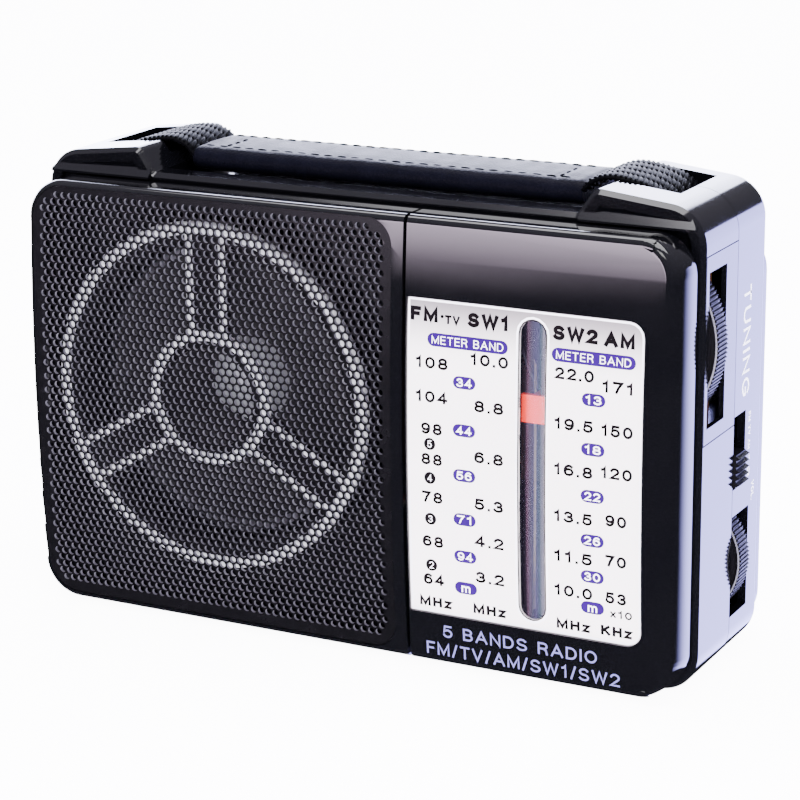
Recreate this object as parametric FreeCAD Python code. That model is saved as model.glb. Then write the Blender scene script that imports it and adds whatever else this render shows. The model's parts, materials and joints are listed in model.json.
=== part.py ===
"""Portable five-band shortwave receiver: every piece as its own closed solid.

Millimetres, +Z up. The seam between the two case halves is the plane y = 0, the
listener's side is -y, x = 0 is the middle of the case and the case rests on z = 0.
"""
import math
import os

import FreeCAD
import Part

Vector = FreeCAD.Vector

# ---------------------------------------------------------------- overall sizes
CASE_WIDTH = 175.0
CASE_HEIGHT = 111.4            # middle of the top, between the handle blocks
HALF_DEPTH = 20.0              # each case half, seam to rim
WALL = 2.1
BLOCK_RISE = 6.0               # handle blocks above the middle
BLOCK_SLOPE = 3.0              # how much the block tops fall towards the sides
BLOCK_FOOT_X = 56.4
BLOCK_TOP_X = 60.6
CASE_CORNER = 9.5
WELL_RADIUS = 25.6             # scooped hand space under the handle
WELL_DEPTH = 4.5
REAR_ROUND = 3.2
SEAM_GROOVE = 0.25             # depth and width of the line round the seam

# rear bulge for the cells
BULGE_DEPTH = 6.5
BULGE_INSET = 1.8
BULGE_TOP = 101.0
BULGE_FOOT = 1.6

# front covers
COVER_INSET = 1.1
COVER_BOTTOM = 1.4
COVER_TOP = 109.6
COVER_BACK = -HALF_DEPTH - 2.9
COVER_EDGE_FACE = -HALF_DEPTH - 11.8   # face at the top and bottom edges
COVER_SWELL = 2.17             # extra at mid-height
COVER_WALL = 2.0
COVER_ROUND = 2.0
COVER_CORNER = 9.5
SPLIT_X = 18.44                # groove between loudspeaker side and dial side
SPLIT_GAP = 0.9
SKIRT_INSET = 3.6
LIP_THICKNESS = 0.5
LIP_Y = -HALF_DEPTH - 2.3
RIM_CHAMFER = 1.1              # sloping front rim of the case
BAND_TOP = 113.0               # sloping band along the foot of each block's face
BAND_FRONT = -HALF_DEPTH - 2.5
BAND_FOOT = 109.9

# loudspeaker
SPEAKER_X = -37.1
SPEAKER_Z = 58.8
SPEAKER_RADIUS = 38.5
GUARD_FRONT = -HALF_DEPTH - 9.5
GUARD_RING = 42.0
GUARD_RING_WIDTH = 3.5
GUARD_HUB = 15.5
GUARD_HUB_WIDTH = 3.0
SPOKE_WIDTH = 11.5
SPOKE_THICKNESS = 2.4
MAGNET_RADIUS = 18.0

# grille sheet
GRILLE_LEFT = -85.0
GRILLE_RIGHT = 14.9
GRILLE_BOTTOM = 3.0
GRILLE_TOP = 108.3
GRILLE_SHEET = 0.8
GRILLE_SINK = 0.3

# dial
PLATE_LEFT = 19.3
PLATE_RIGHT = 78.35
PLATE_BOTTOM = 14.25
PLATE_TOP = 90.9
PLATE_THICKNESS = 0.6
PLATE_SINK = 0.5
SLOT_X = 51.1
SLOT_WIDTH = 6.4
SLOT_BOTTOM = 16.75
SLOT_TOP = 88.4
POINTER_Z = 67.05
POINTER_HEIGHT = 6.6
POINTER_WIDTH = 8.0
POINTER_FRONT = -HALF_DEPTH - 10.6
RAIL_Y = -HALF_DEPTH - 6.0
RAIL_RADIUS = 1.0
CORD_RADIUS = 0.3
CORD_CIRCLE = 19.75            # cord's middle line round the drum
CORD_FRONT_Y = -HALF_DEPTH - 2.4
RAIL_BOTTOM = 13.0
RAIL_TOP = 95.5
POST_X = 48.05
POST_RADIUS = 2.55
POST_LOW_Z = 10.1
POST_HIGH_Z = 100.6

# tuning thumbwheel on the variable capacitor
TUNING_X = 64.8
TUNING_Z = 82.5
TUNING_RADIUS = 25.0
TUNING_FRONT = -HALF_DEPTH + 3.0
TUNING_THICKNESS = 5.5
TUNING_TEETH = 150
DRUM_RADIUS = 18.8
DRUM_FLANGE = 20.2
DRUM_FRONT = -HALF_DEPTH - 0.3
SHAFT_RADIUS = 3.0
RUNNING_FIT = 0.05
GAP = 0.35

# volume thumbwheel
VOLUME_X = 73.1
VOLUME_Z = 25.6
VOLUME_RADIUS = 16.5
VOLUME_FRONT = 1.5
VOLUME_THICKNESS = 5.5
VOLUME_TEETH = 100
TOOTH_DEPTH = 0.4

# band switch
KNOB_Z = 48.3
KNOB_HEIGHT = 8.0
KNOB_PROUD = 1.5
KNOB_RIDGES = 5
SWITCH_LEFT = 70.5
SWITCH_RIGHT = 82.0
SWITCH_SLOT_BOTTOM = 43.8
SWITCH_SLOT_TOP = 61.7
SWITCH_SLOT_WIDTH = 7.5
VOLUME_SLOT_BOTTOM = 12.25
VOLUME_SLOT_TOP = 37.2
VOLUME_SLOT_WIDTH = 10.9

# side plate with the tuning window
SIDE_PLATE_BOTTOM = 60.1
SIDE_PLATE_TOP = 103.7
SIDE_PLATE_THICKNESS = 1.3
SIDE_PLATE_GAP = 0.3
SIDE_PLATE_EDGE = 0.35         # from the case's front rim to the plate
WINDOW_BOTTOM = 63.6
WINDOW_TOP = 100.0
WINDOW_FRONT = -HALF_DEPTH + 1.9
WINDOW_BACK = -HALF_DEPTH + 12.8

# circuit board
BOARD_FRONT = -HALF_DEPTH + 12.0
BOARD_THICKNESS = 1.6
BOARD_LEFT = 6.0
BOARD_RIGHT = 83.5
BOARD_TOP = 99.0
BOARD_WAIST = 42.0
BOARD_LEG_LEFT = 57.0
BOARD_LEG_BOTTOM = 10.5

# sockets on the left side
INLET_Y = 9.0
INLET_Z = 55.8
JACK_Y = 8.0
JACK_Z = 67.0

# medium-wave aerial bar
ROD_RADIUS = 4.5
ROD_LEFT = -44.0
ROD_RIGHT = 60.0
ROD_Y = 13.6
ROD_Z = 91.0

# cells and their bay (two size D in line)
CELL_START = -78.4
CELL_RADIUS = 17.1
CELL_LENGTH = 61.5
CELL_Y = 6.9
CELL_Z = 20.6
BAY_RADIUS = 17.6
BAY_WALL = 1.4
BAY_LEFT = -83.0
BAY_RIGHT = 46.0
DOOR_HINGE_Y = HALF_DEPTH + 5.0
DOOR_HINGE_Z = 5.6
DOOR_TOP = 38.4
DOOR_BARREL = 1.45

# handle
STRAP_WIDTH = 21.5
STRAP_Y = 1.5
STRAP_THICKNESS = 1.7
SLEEVE_HALF_LENGTH = 52.5
SLEEVE_THICKNESS = 6.4
SLEEVE_WIDTH = 22.5
SLEEVE_Z = 113.2
STRAP_PIN_X = 71.5
STRAP_PIN_Z = 103.5
PIN_FRONT = -11.0
PIN_BACK = HALF_DEPTH - 4.6
STRAP_SLOT_IN = 61.5
STRAP_SLOT_OUT = 77.0
STRAP_PATH = ((STRAP_PIN_X + 2.3, STRAP_PIN_Z), (74.0, 110.0), (72.0, 113.8), (68.0, 116.0),
              (63.0, 117.2), (58.5, 117.5), (54.5, 116.2), (51.0, SLEEVE_Z + 0.4), (40.0, SLEEVE_Z))

# whip aerial, folded along the back of the top
WHIP_PIVOT_X = -77.0
WHIP_Y = HALF_DEPTH + 3.6
WHIP_Z = 104.9
WHIP_RADII = (3.0, 2.3, 1.7, 1.15)
WHIP_LENGTH = 118.0
WHIP_STEP = 2.5

# fixings: x, z and, for the case screws, the y of the face they are sunk into
TOP_FACE_Y = HALF_DEPTH
BULGE_FACE_Y = HALF_DEPTH + BULGE_DEPTH
CASE_SCREWS = ((-82.0, 106.5, TOP_FACE_Y), (82.0, 106.5, TOP_FACE_Y),
               (-80.6, 44.2, BULGE_FACE_Y), (55.0, 6.6, BULGE_FACE_Y))
BOARD_SCREWS = ((12.0, 93.0), (12.0, 47.0), (80.5, 39.2))
SPEAKER_SCREW_ANGLES = (45.0, 135.0, 270.0)
SPEAKER_SCREW_CIRCLE = 41.6

FAR = 60.0                     # how far the cutting blanks reach in front of the seam


# ---------------------------------------------------------------- shape helpers
def box(x0, x1, y0, y1, z0, z1):
    """Return a block between two corners."""
    return Part.makeBox(x1 - x0, y1 - y0, z1 - z0, Vector(x0, y0, z0))


def rod(radius, start, end):
    """Return a round bar from one point to another."""
    a, b = Vector(*start), Vector(*end)
    return Part.makeCylinder(radius, (b - a).Length, a, b - a)


def tube(outer, inner, start, end):
    """Return a round bar with a round hole right through it."""
    return rod(outer, start, end).cut(rod(inner, start, end))


def fuse(first, *others):
    """Join shapes into one solid without leftover seams."""
    return first.fuse(list(others)).removeSplitter()


def inset_corners(corners, inset):
    """Shift every edge of a counter-clockwise corner list inwards."""
    shifted = []
    count = len(corners)
    for i, (x, z, radius) in enumerate(corners):
        before, after = corners[i - 1], corners[(i + 1) % count]
        into = Vector(x - before[0], 0, z - before[1]).normalize()
        out = Vector(after[0] - x, 0, after[1] - z).normalize()
        normal_in, normal_out = Vector(-into.z, 0, into.x), Vector(-out.z, 0, out.x)
        move = (normal_in + normal_out) * (inset / (1.0 + normal_in.dot(normal_out)))
        turn = into.x * out.z - into.z * out.x
        round_off = radius - inset if turn > 0 else radius + inset
        shifted.append((x + move.x, z + move.z, max(round_off, 0.0)))
    return shifted


def rounded_wire(corners, y=0.0):
    """Return a closed wire in a plane of constant y with each corner rounded."""
    edges, joints = [], []
    count = len(corners)
    for i, (x, z, radius) in enumerate(corners):
        here = Vector(x, y, z)
        to_before = Vector(corners[i - 1][0] - x, 0, corners[i - 1][1] - z).normalize()
        to_after = Vector(corners[(i + 1) % count][0] - x, 0, corners[(i + 1) % count][1] - z).normalize()
        if radius < 0.05:
            joints.append((here, here))
            continue
        half = to_before.getAngle(to_after) / 2.0
        run = radius / math.tan(half)
        start, end = here + to_before * run, here + to_after * run
        middle = here + (to_before + to_after).normalize() * (radius / math.sin(half) - radius)
        edges.append((i, Part.Arc(start, middle, end).toShape()))
        joints.append((start, end))
    arcs = dict(edges)
    path = []
    for i in range(count):
        if i in arcs:
            path.append(arcs[i])
        start, end = joints[i][1], joints[(i + 1) % count][0]
        if (end - start).Length > 1e-6:
            path.append(Part.makeLine(start, end))
    return Part.Wire(path)


def prism(corners, y0, y1):
    """Return a rounded outline pushed from y0 to y1."""
    return Part.Face(rounded_wire(corners, y0)).extrude(Vector(0, y1 - y0, 0))


def rectangle(x0, x1, z0, z1, radius=0.0):
    """Return the corners of an upright rectangle, counter-clockwise."""
    return [(x1, z0, radius), (x1, z1, radius), (x0, z1, radius), (x0, z0, radius)]


def edges_at(shape, test):
    """Return the edges whose middle point passes a test."""
    found = []
    for edge in shape.Edges:
        middle = edge.valueAt((edge.FirstParameter + edge.LastParameter) / 2.0)
        if test(middle, edge):
            found.append(edge)
    return found


# ---------------------------------------------------------------- shared outlines
def case_corners(inset=0.0):
    """Outline of the case seen from the front, raised blocks included."""
    half, top, block = CASE_WIDTH / 2.0, CASE_HEIGHT, CASE_HEIGHT + BLOCK_RISE
    corners = [
        (half, 0.0, CASE_CORNER), (half, block - BLOCK_SLOPE, CASE_CORNER),
        (BLOCK_TOP_X, block, 2.5), (BLOCK_FOOT_X, top, 0.8),
        (-BLOCK_FOOT_X, top, 0.8), (-BLOCK_TOP_X, block, 2.5),
        (-half, block - BLOCK_SLOPE, CASE_CORNER), (-half, 0.0, CASE_CORNER)]
    return inset_corners(corners, inset)


def cover_corners(inset=0.0):
    """Outline of the two front covers together."""
    half = CASE_WIDTH / 2.0 - COVER_INSET
    return inset_corners(rectangle(-half, half, COVER_BOTTOM, COVER_TOP, COVER_CORNER), inset)


def bulge_corners(inset=0.0):
    """Outline of the cell bulge on the back."""
    half = CASE_WIDTH / 2.0 - BULGE_INSET
    return inset_corners(rectangle(-half, half, BULGE_FOOT, BULGE_TOP, CASE_CORNER), inset)


def well(extra=0.0):
    """The hand space scooped out between the blocks, grown by a wall if asked."""
    radius = WELL_RADIUS + extra
    axis_z = CASE_HEIGHT - WELL_DEPTH + WELL_RADIUS
    half = BLOCK_FOOT_X + extra
    return rod(radius, (-half, 0, axis_z), (half, 0, axis_z))


def face_slab(depth, back):
    """Everything between the swelling front face, set back by depth, and a flat back."""
    half, reach = CASE_WIDTH / 2.0, 62.0
    middle, rise = (COVER_BOTTOM + COVER_TOP) / 2.0, (COVER_TOP - COVER_BOTTOM) / 2.0
    radius = (rise ** 2 + COVER_SWELL ** 2) / (2.0 * COVER_SWELL)
    front = COVER_EDGE_FACE - COVER_SWELL + depth
    end = front + radius - math.sqrt(radius ** 2 - reach ** 2)
    low, high = Vector(-half, end, middle - reach), Vector(-half, end, middle + reach)
    back_low, back_high = Vector(-half, back, middle - reach), Vector(-half, back, middle + reach)
    outline = Part.Wire([
        Part.Arc(low, Vector(-half, front, middle), high).toShape(), Part.makeLine(high, back_high),
        Part.makeLine(back_high, back_low), Part.makeLine(back_low, low)])
    return Part.Face(outline).extrude(Vector(CASE_WIDTH, 0, 0))


# ---------------------------------------------------------------- case
def front_shell():
    """Front half of the case with its baffle wall, openings and screw posts."""
    rim = -HALF_DEPTH
    shell = fuse(prism(case_corners(), rim, 0.0), front_rim(), *block_bands())
    shell = shell.cut(prism(case_corners(WALL), rim + WALL, 0.0).cut(well(WALL)))
    shell = shell.cut(well())
    speaker_hole = rod(SPEAKER_RADIUS - 2.0, (SPEAKER_X, rim, SPEAKER_Z), (SPEAKER_X, rim + WALL, SPEAKER_Z))
    dial_hole = prism(rectangle(24.0, 78.0, 4.6, 108.6, 3.0), rim, rim + WALL)
    drum_hole = drum_room(rim + WALL)
    shell = shell.cut([speaker_hole, dial_hole, drum_hole])
    posts = [rod(3.2, (x, rim + WALL, z), (x, 0.0, z)) for x, z, _ in CASE_SCREWS]
    posts += [rod(3.0, (x, rim + WALL, z), (x, BOARD_FRONT, z)) for x, z in BOARD_SCREWS]
    posts += [rod(2.6, (x, rim, z), (x, rim + WALL + 1.2, z)) for x, z in speaker_screw_points()]
    posts += strap_ribs(PIN_FRONT - 0.1, STRAP_Y - STRAP_WIDTH / 2.0 - 0.6)
    low_x, low_z, _ = CASE_SCREWS[3]
    posts.append(box(low_x - 1.0, low_x + 1.0, rim + 1.0, 0.0, 1.0, low_z))
    posts.append(box(GRILLE_RIGHT + 4.0, GRILLE_RIGHT + 6.0, rim + 1.0, BOARD_FRONT - 1.0, 44.0, 100.0))
    shell = fuse(shell, *posts)
    holes = [rod(1.3, (x, -14.0, z), (x, 0.0, z)) for x, z, _ in CASE_SCREWS]
    holes += [rod(1.1, (x, BOARD_FRONT - 6.0, z), (x, BOARD_FRONT, z)) for x, z in BOARD_SCREWS]
    holes += [rod(1.1, (x, rim, z), (x, rim + WALL + 1.2, z)) for x, z in speaker_screw_points()]
    holes += [pin_bore(side) for side in (-1, 1)]
    holes += [strap_slot(side) for side in (-1, 1)]
    return shell.cut(holes + side_plate_seat() + [seam_groove()])


def seam_groove():
    """Fine groove round the outside where the two halves meet."""
    around = prism(case_corners(-1.0), -SEAM_GROOVE, 0.0)
    return around.cut(prism(case_corners(SEAM_GROOVE), -SEAM_GROOVE, 0.0))


def drum_room(back):
    """Room for the cord drum where it stands forward of the case's front wall."""
    return rod(DRUM_FLANGE + GAP, (TUNING_X, DRUM_FRONT - GAP, TUNING_Z), (TUNING_X, back, TUNING_Z))


def front_rim():
    """Sloping rim round the front of the case, outside the covers' skirt."""
    back, front = -HALF_DEPTH, -HALF_DEPTH - RIM_CHAMFER
    slope = Part.makeLoft([rounded_wire(case_corners(), back),
                           rounded_wire(case_corners(RIM_CHAMFER), front)], True, True)
    return slope.cut(prism(case_corners(RIM_CHAMFER + 2.2), front - 1.0, back))


def block_bands():
    """Sloping band along the foot of each block's front face."""
    bands = []
    for side in (-1, 1):
        x0, x1 = sorted((side * (BLOCK_FOOT_X + 0.8), side * (CASE_WIDTH / 2.0 - 2.0)))
        face = Part.Face(Part.makePolygon([
            Vector(x0, -HALF_DEPTH, BAND_TOP), Vector(x0, BAND_FRONT, BAND_FOOT + 0.5),
            Vector(x0, BAND_FRONT, BAND_FOOT), Vector(x0, -HALF_DEPTH, BAND_FOOT),
            Vector(x0, -HALF_DEPTH, BAND_TOP)]))
        band = face.extrude(Vector(x1 - x0, 0, 0))
        bands.append(band.common(prism(case_corners(0.6), BAND_FRONT - 1.0, -HALF_DEPTH)))
    return bands


def side_plate_seat():
    """Stepped recess in the right-hand wall for the side plate."""
    half = CASE_WIDTH / 2.0
    gap = SIDE_PLATE_GAP
    seat = box(half - SIDE_PLATE_THICKNESS, half + 1.0, -HALF_DEPTH + SIDE_PLATE_EDGE - gap, 1.0,
               SIDE_PLATE_BOTTOM - gap, SIDE_PLATE_TOP + gap)
    hole = box(half - WALL - 1.0, half, -HALF_DEPTH + WALL, -2.5,
               WINDOW_BOTTOM - 1.5, WINDOW_TOP + 1.5)
    return [seat, hole]


def side_plate():
    """Plate let into the right-hand side, with the tuning window."""
    half = CASE_WIDTH / 2.0
    plate = box(half - SIDE_PLATE_THICKNESS, half, -HALF_DEPTH + SIDE_PLATE_EDGE, -SEAM_GROOVE,
                SIDE_PLATE_BOTTOM, SIDE_PLATE_TOP)
    window = box(half - WALL, half + 1.0, WINDOW_FRONT, WINDOW_BACK, WINDOW_BOTTOM, WINDOW_TOP)
    return plate.cut(window)


def strap_slot(side):
    """Opening in a block's top where the strap goes in."""
    x0, x1 = sorted((side * STRAP_SLOT_IN, side * STRAP_SLOT_OUT))
    half = STRAP_WIDTH / 2.0 + 0.6
    mouth = box(x0, x1, STRAP_Y - half, STRAP_Y + half, CASE_HEIGHT - 2.0, CASE_HEIGHT + 12.0)
    x0, x1 = sorted((side * (BLOCK_FOOT_X + 1.0), side * STRAP_SLOT_IN))
    return mouth.fuse(box(x0, x1, STRAP_Y - half, STRAP_Y + half, CASE_HEIGHT + 3.0, CASE_HEIGHT + 12.0))


def strap_ribs(y0, y1):
    """Ribs inside both blocks that carry the strap pins."""
    return [box(side * STRAP_PIN_X - 4.0, side * STRAP_PIN_X + 4.0, y0, y1,
                STRAP_PIN_Z - 4.0, CASE_HEIGHT + 3.2) for side in (-1, 1)]


def pin_bore(side):
    """Room that one strap pin takes through the ribs."""
    return rod(1.5, (side * STRAP_PIN_X, PIN_FRONT, STRAP_PIN_Z), (side * STRAP_PIN_X, PIN_BACK, STRAP_PIN_Z))


def bay_void(extra=0.0, back=HALF_DEPTH + BULGE_DEPTH):
    """Space round the two cells, open towards the back."""
    radius = BAY_RADIUS + extra
    x0, x1 = BAY_LEFT - extra, BAY_RIGHT + extra
    trough = rod(radius, (x0, CELL_Y, CELL_Z), (x1, CELL_Y, CELL_Z))
    return trough.fuse(box(x0, x1, CELL_Y, back, CELL_Z - radius, CELL_Z + radius))


def rear_shell():
    """Back half of the case: cell bay, bulge, side slots and sockets."""
    back = HALF_DEPTH
    outer = prism(case_corners(), 0.0, back)
    outer = outer.makeFillet(REAR_ROUND, edges_at(outer, lambda p, e: abs(p.y - back) < 1e-4)).cut(well())
    bulge = prism(bulge_corners(), back - 6.0, back + BULGE_DEPTH)
    bulge = bulge.makeFillet(2.4, edges_at(bulge, lambda p, e: abs(p.y - back - BULGE_DEPTH) < 1e-4))
    cavity = prism(case_corners(WALL), 0.0, back - WALL).cut(well(WALL))
    cavity = cavity.fuse(prism(bulge_corners(WALL), back - 8.0, back + BULGE_DEPTH - WALL))
    shell = fuse(outer, bulge).cut(cavity)
    inside = fuse(outer, bulge, prism(case_corners(WALL + 0.4), -HALF_DEPTH + 6.0, 0.5))
    trough = bay_void(BAY_WALL, back + BULGE_DEPTH - 1.0).common(inside)
    posts = [rod(3.2, (x, 0.0, z), (x, y - 1.0, z)) for x, z, y in CASE_SCREWS]
    posts += strap_ribs(STRAP_Y + STRAP_WIDTH / 2.0 + 0.6, back - WALL + 0.5)
    left = -CASE_WIDTH / 2.0
    rests = [box(left + 1.5, left + 16.5, 2.2, back - 1.0, INLET_Z - 6.6, INLET_Z - 5.2),
             box(-82.0, -78.6, 16.0, back + 5.0, 73.0, 98.0),
             box(-59.4, -56.0, 16.0, back + 5.0, 73.0, 98.0)]
    shell = fuse(shell, trough, *posts, *[rest.common(inside) for rest in rests])
    shell = shell.cut(bay_void(0.0, back + BULGE_DEPTH - WALL - 0.6))
    shell = shell.cut([door_opening()] + rear_side_holes())
    holes = [rod(1.55, (x, 0.0, z), (x, y - 4.0, z)) for x, z, y in CASE_SCREWS]
    holes += [rod(3.0, (x, y - 4.0, z), (x, y + 1.0, z)) for x, z, y in CASE_SCREWS]
    holes += [pin_bore(side) for side in (-1, 1)] + [strap_slot(side) for side in (-1, 1)]
    return shell.cut(holes)


def door_opening():
    """Opening in the bulge for the cell door, with room for its barrel and pivots."""
    back = HALF_DEPTH + BULGE_DEPTH
    x0, x1 = BAY_LEFT + 0.6, BAY_RIGHT - 0.6
    opening = box(x0, x1, back - WALL - 3.0, back + 1.0, DOOR_HINGE_Z, DOOR_TOP + GAP)
    barrel = rod(DOOR_BARREL + GAP, (x0, DOOR_HINGE_Y, DOOR_HINGE_Z), (x1, DOOR_HINGE_Y, DOOR_HINGE_Z))
    mouth = box(x0, x1, DOOR_HINGE_Y, back + 1.0, DOOR_HINGE_Z - DOOR_BARREL - GAP, DOOR_TOP)
    pivots = rod(0.9 + RUNNING_FIT, (x0 - 1.4, DOOR_HINGE_Y, DOOR_HINGE_Z),
                 (x1 + 1.4, DOOR_HINGE_Y, DOOR_HINGE_Z))
    return opening.fuse([barrel, mouth, pivots])


def rear_side_holes():
    """Slots for the switch knob and volume wheel, and the sockets on the left side."""
    half = CASE_WIDTH / 2.0
    x0, x1 = half - WALL - 1.0, half + 1.0
    switch_slot = box(x0, x1, -1.0, SWITCH_SLOT_WIDTH, SWITCH_SLOT_BOTTOM, SWITCH_SLOT_TOP)
    volume_slot = box(x0, x1, -1.0, VOLUME_SLOT_WIDTH, VOLUME_SLOT_BOTTOM, VOLUME_SLOT_TOP)
    inlet = box(-x1, -x0, INLET_Y - 8.6, INLET_Y + 8.6, INLET_Z - 5.2, INLET_Z + 5.2)
    jack = rod(4.0, (-x1, JACK_Y, JACK_Z), (-x0, JACK_Y, JACK_Z))
    return [switch_slot, volume_slot, inlet, jack]


def case_screws():
    """Four self-tapping screws that hold the halves together, put in from the back."""
    screws = []
    for x, z, y in CASE_SCREWS:
        shank = rod(1.3, (x, -13.0, z), (x, y - 4.0, z))
        head = rod(2.8, (x, y - 4.0, z), (x, y - 2.2, z))
        screws.append(fuse(shank, head).cut(cross_recess(x, y - 2.2, z)))
    return Part.makeCompound(screws)


def cross_recess(x, y, z):
    """Cross-shaped driver recess cut into a screw head from the back."""
    return box(x - 1.5, x + 1.5, y - 0.9, y + 0.1, z - 0.3, z + 0.3).fuse(
        box(x - 0.3, x + 0.3, y - 0.9, y + 0.1, z - 1.5, z + 1.5))


# ---------------------------------------------------------------- front covers
def cover_blank():
    """Both front covers as one hollow tray, before they are parted."""
    solid = face_slab(0.0, COVER_BACK).common(prism(cover_corners(), -FAR, COVER_BACK))
    front = edges_at(solid, lambda p, e: p.y < COVER_EDGE_FACE + 0.2)
    solid = solid.makeFillet(COVER_ROUND, front)
    hollow = face_slab(COVER_WALL, COVER_BACK).common(prism(cover_corners(COVER_WALL), -FAR, COVER_BACK))
    skirt = prism(cover_corners(SKIRT_INSET), COVER_BACK - 3.0, -HALF_DEPTH)
    skirt = skirt.cut(prism(cover_corners(SKIRT_INSET + 1.6), COVER_BACK - 3.0, -HALF_DEPTH))
    web = prism(cover_corners(COVER_WALL - 0.4), COVER_BACK - 3.0, COVER_BACK - 1.4)
    web = web.cut(prism(cover_corners(SKIRT_INSET + 1.6), COVER_BACK - 3.0, COVER_BACK - 1.4))
    return fuse(solid.cut(hollow), skirt, web)


def grille_corners(inset=0.0):
    """Outline of the perforated sheet: big corners on the left, smaller on the right."""
    corners = [
        (GRILLE_RIGHT, GRILLE_BOTTOM, 6.5), (GRILLE_RIGHT, GRILLE_TOP, 6.5),
        (GRILLE_LEFT, GRILLE_TOP, 8.5), (GRILLE_LEFT, GRILLE_BOTTOM, 8.5)]
    return inset_corners(corners, inset)


def speaker_cover():
    """Left front cover, recessed all over for the grille sheet."""
    keep = box(-CASE_WIDTH, SPLIT_X - SPLIT_GAP / 2.0, -FAR, 0.0, -1.0, 130.0)
    end_wall = box(SPLIT_X - SPLIT_GAP / 2.0 - 1.5, SPLIT_X - SPLIT_GAP / 2.0, -FAR, COVER_BACK, 0.0, 130.0)
    end_wall = end_wall.common(face_slab(0.5, COVER_BACK)).common(prism(cover_corners(1.0), -FAR, 0.0))
    cover = fuse(cover_blank().common(keep), end_wall)
    seat = prism(grille_corners(-0.15), -FAR, 0.0).cut(face_slab(GRILLE_SINK + GRILLE_SHEET, 0.0))
    opening = prism(grille_corners(2.6), -FAR, COVER_BACK - 4.0)
    return cover.cut([seat, opening])


def speaker_grille():
    """Thin sheet over the loudspeaker, bent to the swell of the front."""
    sheet = face_slab(GRILLE_SINK, -20.0).cut(face_slab(GRILLE_SINK + GRILLE_SHEET, -19.0))
    return sheet.common(prism(grille_corners(), -FAR, -24.0))


def speaker_guard():
    """Round guard ring with a hub and three broad spokes in front of the cone."""
    centre = (SPEAKER_X, SPEAKER_Z)
    ring = tube(GUARD_RING, GUARD_RING - GUARD_RING_WIDTH,
                (centre[0], GUARD_FRONT, centre[1]), (centre[0], -HALF_DEPTH, centre[1]))
    hub = tube(GUARD_HUB, GUARD_HUB - GUARD_HUB_WIDTH,
               (centre[0], GUARD_FRONT, centre[1]), (centre[0], GUARD_FRONT + SPOKE_THICKNESS, centre[1]))
    spokes = []
    for angle in (0.0, 120.0, 240.0):
        bar = box(-SPOKE_WIDTH / 2.0, SPOKE_WIDTH / 2.0, 0.0, SPOKE_THICKNESS,
                  GUARD_HUB - 2.0, GUARD_RING - 1.5)
        bar.rotate(Vector(0, 0, 0), Vector(0, 1, 0), angle)
        bar.translate(Vector(centre[0], GUARD_FRONT, centre[1]))
        spokes.append(bar)
    return fuse(ring, hub, *spokes)


def dial_corners(inset=0.0):
    """Outline of the silver scale plate, square on the left and rounded on the right."""
    corners = [
        (PLATE_RIGHT, PLATE_BOTTOM, 3.8), (PLATE_RIGHT, PLATE_TOP, 3.8),
        (PLATE_LEFT, PLATE_TOP, 0.3), (PLATE_LEFT, PLATE_BOTTOM, 0.3)]
    return inset_corners(corners, inset)


def slot_corners(inset=0.0):
    """Outline of the pointer slot with round ends."""
    half = SLOT_WIDTH / 2.0
    return inset_corners(rectangle(SLOT_X - half, SLOT_X + half, SLOT_BOTTOM, SLOT_TOP, half - 0.01), inset)


def dial_cover():
    """Right front cover with the scale recess, the pointer slot and the rail lugs."""
    keep = box(SPLIT_X + SPLIT_GAP / 2.0, CASE_WIDTH, -FAR, 0.0, -1.0, 130.0)
    blank = cover_blank().common(keep)
    recess = prism(dial_corners(-0.1), -FAR, 0.0).cut(face_slab(PLATE_SINK + PLATE_THICKNESS, 0.0))
    slot = prism(slot_corners(), -FAR, COVER_BACK - 3.5)
    lugs = [box(SLOT_X - 3.5, SLOT_X + 3.5, COVER_EDGE_FACE, RAIL_Y + 2.2, z, z + 3.0)
            for z in (RAIL_BOTTOM, RAIL_TOP - 3.0)]
    lugs = [lug.common(face_slab(COVER_WALL - 0.5, 0.0)) for lug in lugs]
    cover = fuse(blank.cut([recess, slot, drum_room(0.0)]), *lugs)
    return cover.cut(rod(RAIL_RADIUS, (SLOT_X, RAIL_Y, RAIL_BOTTOM), (SLOT_X, RAIL_Y, RAIL_TOP)))


def trim_lip():
    """Thin rim that shows as a line in the groove between covers and case."""
    outer = prism(cover_corners(0.6), LIP_Y, LIP_Y + LIP_THICKNESS)
    return outer.cut(prism(cover_corners(SKIRT_INSET), LIP_Y - 1.0, LIP_Y + 2.0))


def dial_plate():
    """Printed scale plate, bent to the swell of the front."""
    sheet = face_slab(PLATE_SINK, -20.0).cut(face_slab(PLATE_SINK + PLATE_THICKNESS, -19.0))
    return sheet.common(prism(dial_corners(), -FAR, -24.0)).cut(prism(slot_corners(), -FAR, -20.0))


def dial_lens():
    """Clear strip that fills the pointer slot."""
    strip = face_slab(PLATE_SINK, -20.0).cut(face_slab(COVER_WALL - 0.2, -19.0))
    return strip.common(prism(slot_corners(), -FAR, -24.0))


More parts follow.
